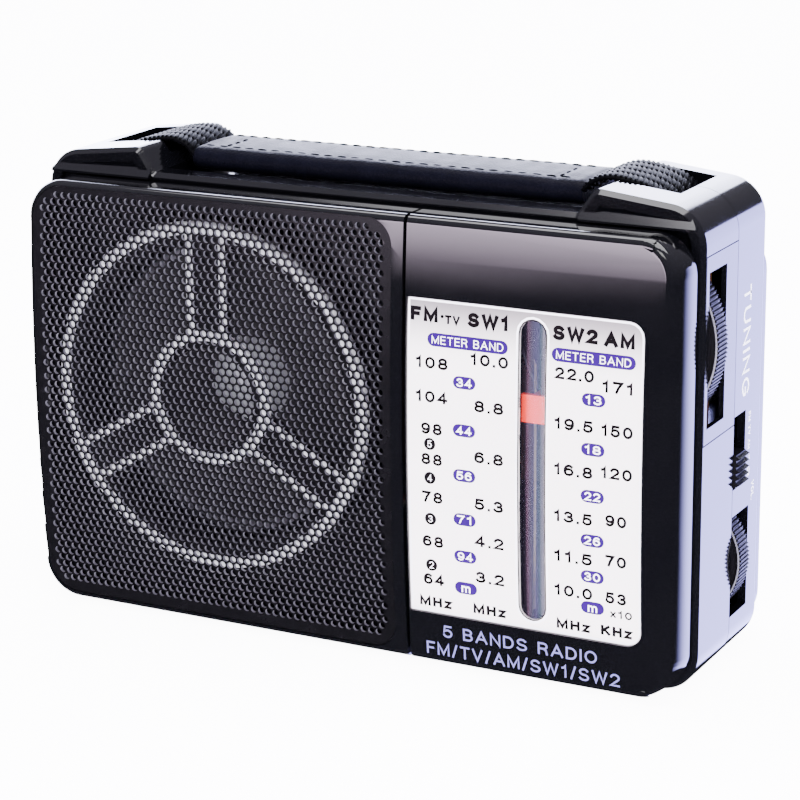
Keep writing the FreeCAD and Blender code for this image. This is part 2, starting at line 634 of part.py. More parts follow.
# ---------------------------------------------------------------- dial drive
def pointer():
    """Orange pointer with the carriage that slides on the rail and grips the cord."""
    z0, z1 = POINTER_Z - POINTER_HEIGHT / 2.0, POINTER_Z + POINTER_HEIGHT / 2.0
    flag = box(SLOT_X - POINTER_WIDTH / 2.0, SLOT_X + POINTER_WIDTH / 2.0,
               POINTER_FRONT, POINTER_FRONT + 1.4, z0, z1)
    stem = box(SLOT_X - 2.6, SLOT_X + 2.6, POINTER_FRONT + 1.0, CORD_FRONT_Y + 0.75, z0 + 0.8, z1 - 0.8)
    rail_hole = rod(RAIL_RADIUS + RUNNING_FIT, (SLOT_X, RAIL_Y, z0), (SLOT_X, RAIL_Y, z1))
    cord_notch = box(SLOT_X - CORD_RADIUS - GAP, SLOT_X + CORD_RADIUS + GAP,
                     CORD_FRONT_Y - CORD_RADIUS - GAP, CORD_FRONT_Y + 1.0, z0, z1)
    return fuse(flag, stem).cut([rail_hole, cord_notch])


def pointer_rail():
    """Steel wire the pointer slides on."""
    return rod(RAIL_RADIUS, (SLOT_X, RAIL_Y, RAIL_BOTTOM), (SLOT_X, RAIL_Y, RAIL_TOP))


def cord_post(z):
    """Round guide that the dial cord turns over, standing on the back of the dial cover."""
    end = TUNING_FRONT - 0.35
    post = rod(POST_RADIUS, (POST_X, COVER_EDGE_FACE, z), (POST_X, end, z))
    flange = rod(POST_RADIUS + 1.0, (POST_X, end - 0.5, z), (POST_X, end, z))
    return fuse(post, flange).common(face_slab(COVER_WALL, 0.0))


def dial_cord():
    """Cord once round the drum and over the two posts, past the pointer."""
    radius = CORD_CIRCLE
    lane_front, lane_back = DRUM_FRONT + 1.1, DRUM_FRONT + 2.1
    left, right = TUNING_X - radius, SLOT_X
    points = []
    for step in range(25):
        angle = 2.0 * math.pi * step / 24.0
        points.append((TUNING_X - radius * math.cos(angle),
                       lane_front + (lane_back - lane_front) * step / 24.0,
                       TUNING_Z - radius * math.sin(angle)))
    points.append((left, lane_back, POST_LOW_Z))
    points += post_turn(POST_LOW_Z, left, right, lane_back, CORD_FRONT_Y, -1.0)
    points += [(right, CORD_FRONT_Y, POST_LOW_Z), (right, CORD_FRONT_Y, POST_HIGH_Z)]
    points += list(reversed(post_turn(POST_HIGH_Z, left, right, lane_front, CORD_FRONT_Y, 1.0)))
    points += [(left, lane_front, POST_HIGH_Z), points[0]]
    runs = []
    for start, end in zip(points, points[1:]):
        runs += [rod(CORD_RADIUS, start, end), Part.makeSphere(CORD_RADIUS, Vector(*end))]
    return runs[0].fuse(runs[1:]).removeSplitter()


def post_turn(z, left, right, y_left, y_right, way):
    """Points of the cord's half turn over a post, drifting from one plane to the other."""
    turn = []
    radius = (right - left) / 2.0
    for step in range(1, 6):
        angle = math.pi * step / 6.0
        turn.append(((left + right) / 2.0 - radius * math.cos(angle),
                     y_left + (y_right - y_left) * step / 6.0,
                     z + way * radius * math.sin(angle)))
    return turn


def knurled_disc(radius, x, y0, y1, z, count, depth):
    """Disc with a toothed rim, axis along y."""
    disc = rod(radius, (x, y0, z), (x, y1, z))
    tooth = rod(depth, (x, y0, z + radius), (x, y1, z + radius))
    cuts = []
    for i in range(count):
        cut = tooth.copy()
        cut.rotate(Vector(x, 0, z), Vector(0, 1, 0), 360.0 * i / count)
        cuts.append(cut)
    return disc.cut(cuts)


def tuning_wheel():
    """Large thumbwheel with the cord drum moulded on its front."""
    x, z = TUNING_X, TUNING_Z
    back = TUNING_FRONT + TUNING_THICKNESS
    wheel = knurled_disc(TUNING_RADIUS, x, TUNING_FRONT, back, z, TUNING_TEETH, TOOTH_DEPTH)
    wheel = wheel.cut(tube(TUNING_RADIUS - 2.4, 8.0, (x, back - 2.0, z), (x, back, z)))
    wheel = wheel.cut(tube(TUNING_RADIUS - 1.0, TUNING_RADIUS - 2.2,
                           (x, TUNING_FRONT, z), (x, TUNING_FRONT + 0.4, z)))
    drum = rod(DRUM_FLANGE, (x, DRUM_FRONT, z), (x, TUNING_FRONT, z))
    groove = tube(DRUM_FLANGE + 1.0, DRUM_RADIUS, (x, DRUM_FRONT + 0.45, z), (x, TUNING_FRONT, z))
    hub = rod(5.0, (x, back - 2.0, z), (x, back + 1.6, z))
    return fuse(wheel, drum.cut(groove), hub).cut([
        rod(SHAFT_RADIUS, (x, DRUM_FRONT + 2.0, z), (x, back + 2.0, z)),
        rod(1.3, (x, DRUM_FRONT, z), (x, DRUM_FRONT + 2.0, z)),
        tube(16.5, 6.0, (x, DRUM_FRONT, z), (x, DRUM_FRONT + 2.2, z))])


def tuning_shaft():
    """Rotor shaft of the variable capacitor, keyed into the thumbwheel."""
    x, z = TUNING_X, TUNING_Z
    shaft = rod(SHAFT_RADIUS, (x, DRUM_FRONT + 2.0, z), (x, BOARD_FRONT + BOARD_THICKNESS + 6.0, z))
    return shaft.cut(rod(1.3, (x, DRUM_FRONT + 2.0, z), (x, DRUM_FRONT + 7.0, z)))


def wheel_screw(x, z, head_y, way, head_radius):
    """Screw that holds a thumbwheel on its shaft; way says which side the head is on."""
    head = rod(head_radius, (x, head_y, z), (x, head_y + way * 1.2, z))
    return fuse(rod(1.3, (x, head_y, z), (x, head_y - way * 5.0, z)), head)


def tuning_capacitor():
    """Square variable capacitor behind the board."""
    back = BOARD_FRONT + BOARD_THICKNESS
    body = box(TUNING_X - 10.0, TUNING_X + 10.0, back, back + 11.5, TUNING_Z - 10.0, TUNING_Z + 10.0)
    collar = rod(4.5, (TUNING_X, back - 1.4, TUNING_Z), (TUNING_X, back, TUNING_Z))
    spots = [(TUNING_X + dx, TUNING_Z + dz) for dx in (-5.0, 5.0) for dz in (-5.0, 5.0)]
    trimmers = [rod(1.8, (x, back + 11.5, z), (x, back + 12.3, z)) for x, z in spots]
    bore = rod(SHAFT_RADIUS + RUNNING_FIT, (TUNING_X, back - 2.0, TUNING_Z), (TUNING_X, back + 6.4, TUNING_Z))
    return fuse(body, collar, *trimmers).cut(bore)


# ---------------------------------------------------------------- volume and band switch
def volume_wheel():
    """Smaller thumbwheel for volume."""
    x, z = VOLUME_X, VOLUME_Z
    back = VOLUME_FRONT + VOLUME_THICKNESS
    wheel = knurled_disc(VOLUME_RADIUS, x, VOLUME_FRONT, back, z, VOLUME_TEETH, TOOTH_DEPTH)
    wheel = wheel.cut(tube(VOLUME_RADIUS - 2.2, 6.0, (x, back - 1.8, z), (x, back, z)))
    wheel = wheel.cut(tube(VOLUME_RADIUS - 0.9, VOLUME_RADIUS - 1.9,
                           (x, VOLUME_FRONT, z), (x, VOLUME_FRONT + 0.4, z)))
    return wheel.cut([rod(2.5, (x, VOLUME_FRONT, z), (x, back - 1.5, z)),
                      rod(1.3, (x, back - 1.5, z), (x, back, z))])


def volume_shaft():
    """Shaft between the volume control and its thumbwheel."""
    x, z = VOLUME_X, VOLUME_Z
    end = VOLUME_FRONT + VOLUME_THICKNESS - 1.5
    shaft = rod(2.5, (x, BOARD_FRONT + BOARD_THICKNESS + 1.5, z), (x, end, z))
    return shaft.cut(rod(1.3, (x, end - 3.5, z), (x, end, z)))


def volume_control():
    """Round rotary control with the mains and cell switch, soldered to the board."""
    x, z = VOLUME_X, VOLUME_Z
    front = BOARD_FRONT + BOARD_THICKNESS
    body = rod(8.5, (x, front, z), (x, VOLUME_FRONT - 0.6, z))
    tab = box(x - 7.0, x + 7.0, front, front + 1.6, z - 13.0, z - 6.0)
    return fuse(body, tab).cut(rod(2.5 + RUNNING_FIT, (x, front + 1.4, z), (x, VOLUME_FRONT, z)))


def band_knob():
    """Ridged sliding knob of the band switch."""
    half = CASE_WIDTH / 2.0
    y0, y1 = 0.6, SWITCH_SLOT_WIDTH - 0.6
    z0, z1 = KNOB_Z - KNOB_HEIGHT / 2.0, KNOB_Z + KNOB_HEIGHT / 2.0
    knob = box(half - WALL - 0.9, half + KNOB_PROUD - 1.0, y0, y1, z0, z1)
    ridges = []
    pitch = KNOB_HEIGHT / KNOB_RIDGES
    for i in range(KNOB_RIDGES):
        z = z0 + (i + 0.5) * pitch - 0.6
        ridge = Part.Face(Part.makePolygon([
            Vector(half + KNOB_PROUD - 1.1, y0, z), Vector(half + KNOB_PROUD, y0, z + 0.6),
            Vector(half + KNOB_PROUD - 1.1, y0, z + 1.2), Vector(half + KNOB_PROUD - 1.1, y0, z)]))
        ridges.append(ridge.extrude(Vector(0, y1 - y0, 0)))
    stem = box(SWITCH_RIGHT - 2.5, half - WALL - 0.8, 2.2, 5.3, KNOB_Z - 2.0, KNOB_Z + 2.0)
    return fuse(knob, stem, *ridges)


def band_switch():
    """Slide switch body with a slot for the knob's stem."""
    front = BOARD_FRONT + BOARD_THICKNESS
    body = box(SWITCH_LEFT, SWITCH_RIGHT, front, 9.0, 43.4, 65.0)
    track = box(SWITCH_RIGHT - 3.0, SWITCH_RIGHT + 1.0, 2.2 - GAP, 5.3 + GAP,
                SWITCH_SLOT_BOTTOM + 2.0, SWITCH_SLOT_TOP - 1.0)
    return body.cut(track)


# ---------------------------------------------------------------- board and its parts
def circuit_board():
    """L-shaped board behind the dial."""
    y0, y1 = BOARD_FRONT, BOARD_FRONT + BOARD_THICKNESS
    board = fuse(box(BOARD_LEFT, BOARD_RIGHT, y0, y1, BOARD_WAIST, BOARD_TOP),
                 box(BOARD_LEG_LEFT, BOARD_RIGHT, y0, y1, BOARD_LEG_BOTTOM, BOARD_WAIST))
    holes = [rod(1.1, (x, y0, z), (x, y1, z)) for x, z in BOARD_SCREWS]
    holes.append(rod(4.5, (TUNING_X, y0, TUNING_Z), (TUNING_X, y1, TUNING_Z)))
    return board.cut(holes)


def board_screws():
    """Three small screws that hold the board to the front shell."""
    y = BOARD_FRONT + BOARD_THICKNESS
    return Part.makeCompound([
        fuse(rod(1.1, (x, BOARD_FRONT - 5.0, z), (x, y, z)), rod(2.5, (x, y, z), (x, y + 1.5, z)))
        .cut(cross_recess(x, y + 1.5, z)) for x, z in BOARD_SCREWS])


def can(x, z):
    """Square metal coil can with a tuning slug, standing on the board."""
    y = BOARD_FRONT + BOARD_THICKNESS
    shell = box(x - 3.6, x + 3.6, y, y + 11.0, z - 3.6, z + 3.6)
    return shell.cut(rod(2.0, (x, y + 10.0, z), (x, y + 11.0, z))).fuse(
        rod(1.7, (x, y + 9.0, z), (x, y + 10.6, z))).removeSplitter()


def electrolytic(x, z, radius, height):
    """Round electrolytic capacitor standing on the board."""
    y = BOARD_FRONT + BOARD_THICKNESS
    return rod(radius, (x, y, z), (x, y + height, z))


def radio_chip():
    """Receiver chip soldered flat on the board."""
    y = BOARD_FRONT + BOARD_THICKNESS
    body = box(26.0, 45.0, y + 0.6, y + 4.0, 55.0, 62.0)
    legs = [box(27.0 + 2.54 * i, 27.6 + 2.54 * i, y, y + 1.2, z, z + 1.2)
            for i in range(7) for z in (54.2, 61.6)]
    return fuse(body, *legs)


def ferrite_rod():
    """Ferrite bar of the medium-wave aerial."""
    return rod(ROD_RADIUS, (ROD_LEFT, ROD_Y, ROD_Z), (ROD_RIGHT, ROD_Y, ROD_Z))



def aerial_coil():
    """Coil wound on a paper sleeve round the ferrite bar."""
    return tube(6.0, ROD_RADIUS, (-20.0, ROD_Y, ROD_Z), (6.0, ROD_Y, ROD_Z))


def rod_holder(x):
    """Plastic stand that carries the ferrite bar off the board."""
    y = BOARD_FRONT + BOARD_THICKNESS
    stand = box(x - 2.0, x + 2.0, y, ROD_Y + 6.6, ROD_Z - 6.5, ROD_Z + 6.0)
    return stand.cut(rod(ROD_RADIUS, (x - 3.0, ROD_Y, ROD_Z), (x + 3.0, ROD_Y, ROD_Z)))


# ---------------------------------------------------------------- loudspeaker
def speaker_screw_points():
    """Where the three loudspeaker screws go."""
    return [(SPEAKER_X + SPEAKER_SCREW_CIRCLE * math.cos(math.radians(a)),
             SPEAKER_Z + SPEAKER_SCREW_CIRCLE * math.sin(math.radians(a))) for a in SPEAKER_SCREW_ANGLES]


def turned(profile):
    """Turn a (radius, y) outline round the loudspeaker's axis."""
    points = [Vector(SPEAKER_X + r, y, SPEAKER_Z) for r, y in profile]
    face = Part.Face(Part.makePolygon(points + [points[0]]))
    return face.revolve(Vector(SPEAKER_X, 0, SPEAKER_Z), Vector(0, 1, 0), 360.0)


def speaker_basket():
    """Pressed steel frame with four windows."""
    flange = -HALF_DEPTH + WALL
    frame = turned([(34.5, flange), (SPEAKER_RADIUS, flange), (SPEAKER_RADIUS, flange + 1.2),
                    (35.4, flange + 1.2), (34.4, flange + 3.0), (19.0, -4.0), (8.0, -4.0),
                    (8.0, -5.0), (18.4, -5.0), (33.4, flange + 2.6)])
    windows = []
    for i in range(4):
        window = box(21.0, 30.5, -20.0, 0.0, -7.0, 7.0)
        window.rotate(Vector(0, 0, 0), Vector(0, 1, 0), 45.0 + 90.0 * i)
        window.translate(Vector(SPEAKER_X, 0, SPEAKER_Z))
        windows.append(window)
    return frame.cut(windows)


def speaker_cone():
    """Paper cone with its rolled edge."""
    flange = -HALF_DEPTH + WALL
    return turned([(34.5, flange), (34.5, flange + 0.8), (31.0, flange + 0.9), (9.5, -8.0),
                   (9.0, -8.4), (31.0, flange + 0.1), (32.6, flange - 0.8)]).cut(speaker_basket())


def speaker_magnet():
    """Ferrite ring magnet with steel plates and the centre pole."""
    return turned([(0.0, -4.9), (6.0, -4.9), (6.0, -4.0), (MAGNET_RADIUS, -4.0),
                   (MAGNET_RADIUS, 5.0), (MAGNET_RADIUS - 1.0, 6.0), (0.0, 6.0)])


def dust_cap():
    """Domed cap in the middle of the cone."""
    return turned([(11.0, -9.15), (9.6, -11.8), (6.6, -13.6), (3.2, -14.5), (0.0, -14.8),
                   (0.0, -14.2), (3.0, -13.9), (6.2, -13.0), (9.0, -11.3), (10.3, -8.85)]).cut(speaker_cone())


def speaker_screws():
    """Three screws with broad heads that clamp the loudspeaker's rim."""
    seat = -HALF_DEPTH + WALL + 1.2
    return Part.makeCompound([
        fuse(rod(1.1, (x, -HALF_DEPTH + 0.2, z), (x, seat, z)), rod(3.6, (x, seat, z), (x, seat + 1.3, z)))
        .cut(cross_recess(x, seat + 1.3, z)) for x, z in speaker_screw_points()])


# ---------------------------------------------------------------- power
def cell(start):
    """Size D cell lying along x, plain end first."""
    body = rod(CELL_RADIUS, (start, CELL_Y, CELL_Z), (start + CELL_LENGTH - 1.8, CELL_Y, CELL_Z))
    cap = rod(4.7, (start + CELL_LENGTH - 1.8, CELL_Y, CELL_Z), (start + CELL_LENGTH, CELL_Y, CELL_Z))
    return fuse(body, cap)



def cell_spring():
    """Conical contact spring at the plain end of the first cell."""
    start, end = BAY_LEFT + 0.5, CELL_START
    helix = Part.makeHelix((end - start - 0.8) / 2.5, end - start - 0.8, 7.0)
    section = Part.Wire(Part.makeCircle(0.4, Vector(7.0, 0, 0), Vector(0, 1, 0)))
    coil = Part.Wire(helix).makePipeShell([section], True, True)
    coil.rotate(Vector(0, 0, 0), Vector(0, 1, 0), 90.0)
    coil.translate(Vector(start + 0.4, CELL_Y, CELL_Z))
    return coil


def contact_plate(x, way):
    """Springy metal plate at one end of the bay; the live one has a raised dimple."""
    x0, x1 = sorted((x, x + way * 0.5))
    plate = box(x0, x1, CELL_Y - 9.0, CELL_Y + 9.0, CELL_Z - 9.0, CELL_Z + 9.0)
    if way > 0:
        return plate
    return fuse(plate, rod(3.5, (x - 0.5, CELL_Y, CELL_Z), (CELL_START + 2 * CELL_LENGTH, CELL_Y, CELL_Z)))


def cell_door():
    """Door over the cells, turning on two pivots along its lower edge."""
    back = HALF_DEPTH + BULGE_DEPTH
    x0, x1 = BAY_LEFT + 0.6 + GAP, BAY_RIGHT - 0.6 - GAP
    leaf = box(x0, x1, back - WALL + 0.05, back - 0.05, DOOR_HINGE_Z, DOOR_TOP)
    barrel = rod(DOOR_BARREL, (x0, DOOR_HINGE_Y, DOOR_HINGE_Z), (x1, DOOR_HINGE_Y, DOOR_HINGE_Z))
    pivots = rod(0.9, (x0 - 1.5, DOOR_HINGE_Y, DOOR_HINGE_Z), (x1 + 1.5, DOOR_HINGE_Y, DOOR_HINGE_Z))
    ribs = [box(-18.0 + dx, 18.0 - dx, back - 0.2, back + 0.35, 33.0 - 1.6 * i, 33.6 - 1.6 * i)
            for i, dx in enumerate((0.0, 1.5, 3.0, 4.5))]
    return fuse(leaf, barrel, pivots, *ribs)


def mains_inlet():
    """Two-pin figure-of-eight mains socket let into the left side."""
    half = CASE_WIDTH / 2.0
    body = box(-half, -half + 15.0, INLET_Y - 8.6, INLET_Y + 8.6, INLET_Z - 5.2, INLET_Z + 5.2)
    lobes = [rod(4.7, (-half - 1.0, INLET_Y + dy, INLET_Z), (-half + 12.5, INLET_Y + dy, INLET_Z))
             for dy in (-4.3, 4.3)]
    pins = [rod(1.2, (-half + 1.5, INLET_Y + dy, INLET_Z), (-half + 15.0, INLET_Y + dy, INLET_Z))
            for dy in (-4.3, 4.3)]
    return body.cut(lobes[0].fuse(lobes[1:])).cut(pins)


def inlet_pins():
    """The two round pins of the mains socket."""
    half = CASE_WIDTH / 2.0
    return Part.makeCompound([
        rod(1.2, (-half + 1.5, INLET_Y + dy, INLET_Z), (-half + 17.0, INLET_Y + dy, INLET_Z))
        for dy in (-4.3, 4.3)])


def earphone_jack():
    """3.5 mm socket on the left side."""
    half = CASE_WIDTH / 2.0
    nose = rod(4.0, (-half, JACK_Y, JACK_Z), (-half + 3.0, JACK_Y, JACK_Z))
    body = box(-half + 3.0, -half + 16.0, JACK_Y - 4.5, JACK_Y + 4.5, JACK_Z - 4.5, JACK_Z + 4.5)
    return fuse(nose, body).cut(rod(1.8, (-half - 1.0, JACK_Y, JACK_Z), (-half + 14.0, JACK_Y, JACK_Z)))


def transformer_core():
    """Laminated core of the mains transformer."""
    core = box(-82.0, -56.0, 5.0, 16.0, 73.0, 98.0)
    windows = [box(x, x + 5.0, 5.0, 16.0, 77.5, 93.5) for x in (-78.0, -65.0)]
    return core.cut(windows)


def transformer_coil():
    """Bobbin and windings round the middle leg of the core."""
    coil = box(-77.8, -60.2, 1.2, 20.0, 78.0, 93.0)
    return coil.cut(box(-73.0, -65.0, 5.0, 16.0, 77.0, 94.0))


# ---------------------------------------------------------------- handle
def band_along(points, thickness, y0, y1):
    """Flat strip of even thickness that follows a smooth line in the x-z plane."""
    line = Part.BSplineCurve()
    line.interpolate([Vector(x, y0, z) for x, z in points])
    count = 60
    upper, lower = [], []
    for i in range(count + 1):
        u = line.FirstParameter + (line.LastParameter - line.FirstParameter) * i / count
        here, along = line.value(u), line.tangent(u)[0]
        side = Vector(-along.z, 0, along.x) * (thickness / 2.0)
        upper.append(here + side)
        lower.append(here - side)
    top, bottom = Part.BSplineCurve(), Part.BSplineCurve()
    top.interpolate(upper)
    bottom.interpolate(lower)
    outline = Part.Wire([
        top.toShape(), Part.makeLine(upper[-1], lower[-1]),
        bottom.toShape(), Part.makeLine(lower[0], upper[0])])
    return Part.Face(outline).extrude(Vector(0, y1 - y0, 0))


def handle_strap():
    """Woven strap from pin to pin, with a loop round each pin inside the blocks."""
    y0, y1 = STRAP_Y - STRAP_WIDTH / 2.0, STRAP_Y + STRAP_WIDTH / 2.0
    points = list(STRAP_PATH) + [(0.0, SLEEVE_Z)] + [(-x, z) for x, z in reversed(STRAP_PATH)]
    strap = band_along(points, STRAP_THICKNESS, y0, y1)
    loops = [tube(3.15, 1.5, (side * STRAP_PIN_X, y0, STRAP_PIN_Z), (side * STRAP_PIN_X, y1, STRAP_PIN_Z))
             for side in (-1, 1)]
    bores = [pin_bore(side) for side in (-1, 1)]
    return fuse(strap, *loops).cut(bores)


def handle_sleeve():
    """Leather grip wrapped round the middle of the strap."""
    y0, y1 = STRAP_Y - SLEEVE_WIDTH / 2.0, STRAP_Y + SLEEVE_WIDTH / 2.0
    z0, z1 = SLEEVE_Z - SLEEVE_THICKNESS / 2.0, SLEEVE_Z + SLEEVE_THICKNESS / 2.0
    grip = box(-SLEEVE_HALF_LENGTH, SLEEVE_HALF_LENGTH, y0, y1, z0, z1)
    grip = grip.makeFillet(2.4, edges_at(grip, lambda p, e: abs(p.x) < 1e-6))
    return grip.cut(handle_strap())


def strap_pins():
    """Steel pins that anchor the two ends of the strap."""
    return Part.makeCompound([pin_bore(side) for side in (-1, 1)])


# ---------------------------------------------------------------- whip aerial
def aerial_bracket():
    """Forked foot that carries the whip on top of the bulge."""
    x = WHIP_PIVOT_X
    foot = box(x - 4.0, x + 4.0, WHIP_Y - 3.2, WHIP_Y + 2.7, BULGE_TOP, BULGE_TOP + 0.4)
    cheeks = [box(x - 2.4, x + 2.4, y, y + 0.9, BULGE_TOP, WHIP_Z + 2.4)
              for y in (WHIP_Y - 3.2, WHIP_Y + 1.8)]
    bore = rod(1.0, (x, WHIP_Y - 3.6, WHIP_Z), (x, WHIP_Y + 3.4, WHIP_Z))
    return fuse(foot, *cheeks).cut(bore)


def aerial_pin():
    """Pivot pin of the whip."""
    return rod(1.0, (WHIP_PIVOT_X, WHIP_Y - 3.2, WHIP_Z), (WHIP_PIVOT_X, WHIP_Y + 2.7, WHIP_Z))


def whip_knuckle():
    """Flattened end the whip turns on."""
    x = WHIP_PIVOT_X
    y0, y1 = WHIP_Y - 1.95, WHIP_Y + 1.45
    eye = rod(2.9, (x, y0, WHIP_Z), (x, y1, WHIP_Z))
    shank = box(x, x + 5.0, y0, y1, WHIP_Z - 1.7, WHIP_Z + 1.7)
    plug = rod(WHIP_RADII[1] + RUNNING_FIT, (x + 4.0, WHIP_Y, WHIP_Z), (x + 8.0, WHIP_Y, WHIP_Z))
    return fuse(eye, shank, plug).cut(rod(1.0 + RUNNING_FIT, (x, y0, WHIP_Z), (x, y1, WHIP_Z)))


def whip_section(index):
    """One telescoping tube; each slides out of the one before it."""
    start = WHIP_PIVOT_X + 5.0 + (3.5 if index else 0.0) + index * 1.0
    end = WHIP_PIVOT_X + WHIP_LENGTH + index * WHIP_STEP
    radius = WHIP_RADII[index]
    outer = rod(radius, (start, WHIP_Y, WHIP_Z), (end, WHIP_Y, WHIP_Z))
    if index + 1 == len(WHIP_RADII):
        knob = rod(WHIP_RADII[0], (end, WHIP_Y, WHIP_Z), (end + 3.6, WHIP_Y, WHIP_Z))
        return fuse(outer, knob.makeFillet(0.8, edges_at(knob, lambda p, e: abs(p.x - end - 3.6) < 1e-4)))
    return outer.cut(rod(WHIP_RADII[index + 1] + RUNNING_FIT, (start, WHIP_Y, WHIP_Z), (end, WHIP_Y, WHIP_Z)))


def pieces():
    """Every piece by name."""
    made = {
        "front_shell": front_shell(), "rear_shell": rear_shell(), "side_plate": side_plate(),
        "case_screws": case_screws(), "speaker_cover": speaker_cover(), "dial_cover": dial_cover(),
        "trim_lip": trim_lip(), "speaker_grille": speaker_grille(), "speaker_guard": speaker_guard(),
        "dial_plate": dial_plate(), "dial_lens": dial_lens(), "pointer": pointer(),
        "pointer_rail": pointer_rail(), "dial_cord": dial_cord(),
        "cord_posts": Part.makeCompound([cord_post(POST_LOW_Z), cord_post(POST_HIGH_Z)]),
        "tuning_wheel": tuning_wheel(), "tuning_shaft": tuning_shaft(),
        "tuning_screw": wheel_screw(TUNING_X, TUNING_Z, DRUM_FRONT, -1.0, 3.0),
        "tuning_capacitor": tuning_capacitor(), "volume_wheel": volume_wheel(),
        "volume_shaft": volume_shaft(), "volume_control": volume_control(),
        "volume_screw": wheel_screw(VOLUME_X, VOLUME_Z, VOLUME_FRONT + VOLUME_THICKNESS, 1.0, 2.6),
        "band_knob": band_knob(), "band_switch": band_switch(), "circuit_board": circuit_board(),
        "board_screws": board_screws(),
        "coil_cans": Part.makeCompound([can(x, 74.0) for x in (20.0, 31.0, 42.0)]),
        "filter_capacitor": electrolytic(20.0, 51.0, 5.0, 12.0),
        "output_capacitor": electrolytic(51.0, 48.5, 4.0, 10.0), "radio_chip": radio_chip(),
        "ferrite_rod": ferrite_rod(), "aerial_coil": aerial_coil(),
        "rod_holders": Part.makeCompound([rod_holder(20.0), rod_holder(49.5)]),
        "speaker_basket": speaker_basket(), "speaker_cone": speaker_cone(),
        "speaker_magnet": speaker_magnet(), "dust_cap": dust_cap(), "speaker_screws": speaker_screws(),
        "cell_first": cell(CELL_START), "cell_second": cell(CELL_START + CELL_LENGTH),
        "cell_spring": cell_spring(), "contact_plain": contact_plate(BAY_LEFT, 1.0),
        "contact_live": contact_plate(BAY_RIGHT, -1.0), "cell_door": cell_door(),
        "mains_inlet": mains_inlet(), "inlet_pins": inlet_pins(), "earphone_jack": earphone_jack(),
        "transformer_core": transformer_core(), "transformer_coil": transformer_coil(),
        "handle_strap": handle_strap(), "handle_sleeve": handle_sleeve(),
        "strap_pins": strap_pins(),
        "aerial_bracket": aerial_bracket(), "aerial_pin": aerial_pin(), "whip_knuckle": whip_knuckle()}
    for index, name in enumerate(("whip_outer", "whip_second", "whip_third", "whip_tip")):
        made[name] = whip_section(index)
    return made


os.makedirs("parts", exist_ok=True)
for name, shape in pieces().items():
    shape.exportStep("parts/" + name + ".step")
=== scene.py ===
"""Portable five-band shortwave receiver, dressed piece by piece over its CAD frame.

Sizes are in millimetres in the classes and turned to metres where a mesh is made.
The listener's side is -y, +z is up and the case rests on z = 0.
"""

from __future__ import annotations

import json
import logging
import math
from collections.abc import Callable, Iterable, Mapping, Sequence
from dataclasses import dataclass, field
from enum import Enum

import bmesh
import bpy
from bpy.types import ID, Material, Mesh, Node, NodeSocket, NodeTree, Object
from mathutils import Matrix, Vector

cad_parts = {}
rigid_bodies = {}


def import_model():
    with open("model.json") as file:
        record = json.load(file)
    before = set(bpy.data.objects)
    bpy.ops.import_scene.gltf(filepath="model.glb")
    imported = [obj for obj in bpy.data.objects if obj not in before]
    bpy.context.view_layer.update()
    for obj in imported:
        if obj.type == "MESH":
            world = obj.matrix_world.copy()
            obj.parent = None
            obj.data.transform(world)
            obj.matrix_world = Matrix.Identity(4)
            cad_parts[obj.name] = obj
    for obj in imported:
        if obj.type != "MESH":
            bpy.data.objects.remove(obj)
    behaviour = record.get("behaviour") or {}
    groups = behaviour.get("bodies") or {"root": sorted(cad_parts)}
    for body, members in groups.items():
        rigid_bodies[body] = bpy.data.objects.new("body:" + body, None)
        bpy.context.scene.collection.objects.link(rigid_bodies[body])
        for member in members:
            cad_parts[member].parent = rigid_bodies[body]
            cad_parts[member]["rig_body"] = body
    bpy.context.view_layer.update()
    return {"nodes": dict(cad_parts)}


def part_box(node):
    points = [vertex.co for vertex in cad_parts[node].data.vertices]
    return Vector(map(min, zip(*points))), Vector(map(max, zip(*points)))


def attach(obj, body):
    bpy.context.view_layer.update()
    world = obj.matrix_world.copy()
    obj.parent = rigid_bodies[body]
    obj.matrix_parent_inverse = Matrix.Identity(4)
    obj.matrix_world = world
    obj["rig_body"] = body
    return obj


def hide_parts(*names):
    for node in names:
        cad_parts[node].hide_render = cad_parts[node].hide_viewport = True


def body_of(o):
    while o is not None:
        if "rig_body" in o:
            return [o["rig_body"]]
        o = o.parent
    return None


LOG = logging.getLogger("receiver")
MM = 0.001
# maps across, up and out, in millimetres, to the CAD's frame
Placer = Callable[[float, float, float], Sequence[float]]


# ---------------------------------------------------------------- small helpers
def linear(hex_colour: str) -> tuple[float, float, float, float]:
    """Turns an sRGB hex colour into the linear colour that shaders work in.

    Args:
        hex_colour: Six hex digits with a leading hash.

    Returns:
        Linear red, green, blue and an alpha of one.
    """
    parts = [int(hex_colour[i : i + 2], 16) / 255.0 for i in (1, 3, 5)]
    red, green, blue = (c / 12.92 if c <= 0.04045 else ((c + 0.055) / 1.055) ** 2.4 for c in parts)
    return (red, green, blue, 1.0)


def add_node(
    tree: NodeTree,
    kind: str,
    inputs: dict[str | int, object] | None = None,
    **settings: object,
) -> Node:
    """Adds one node with its settings, its values and its incoming links.

    Args:
        tree: The tree that gets the node.
        kind: The node's type name.
        inputs: Value or output socket for each input, by name or number.
        **settings: Properties of the node itself.

    Returns:
        The new node.
    """
    node = tree.nodes.new(kind)
    for name, value in settings.items():
        setattr(node, name, value)
    for key, value in (inputs or {}).items():
        if isinstance(value, NodeSocket):
            tree.links.new(value, node.inputs[key])
        else:
            node.inputs[key].default_value = value
    return node


def linked(name: str, data: ID) -> Object:
    """Makes an object at the origin and links it to the scene."""
    obj = bpy.data.objects.new(name, data)
    bpy.context.scene.collection.objects.link(obj)
    return obj


def heading(degrees: float) -> tuple[float, float]:
    """Gives the cosine and the sine of an angle in degrees."""
    return math.cos(math.radians(degrees)), math.sin(math.radians(degrees))


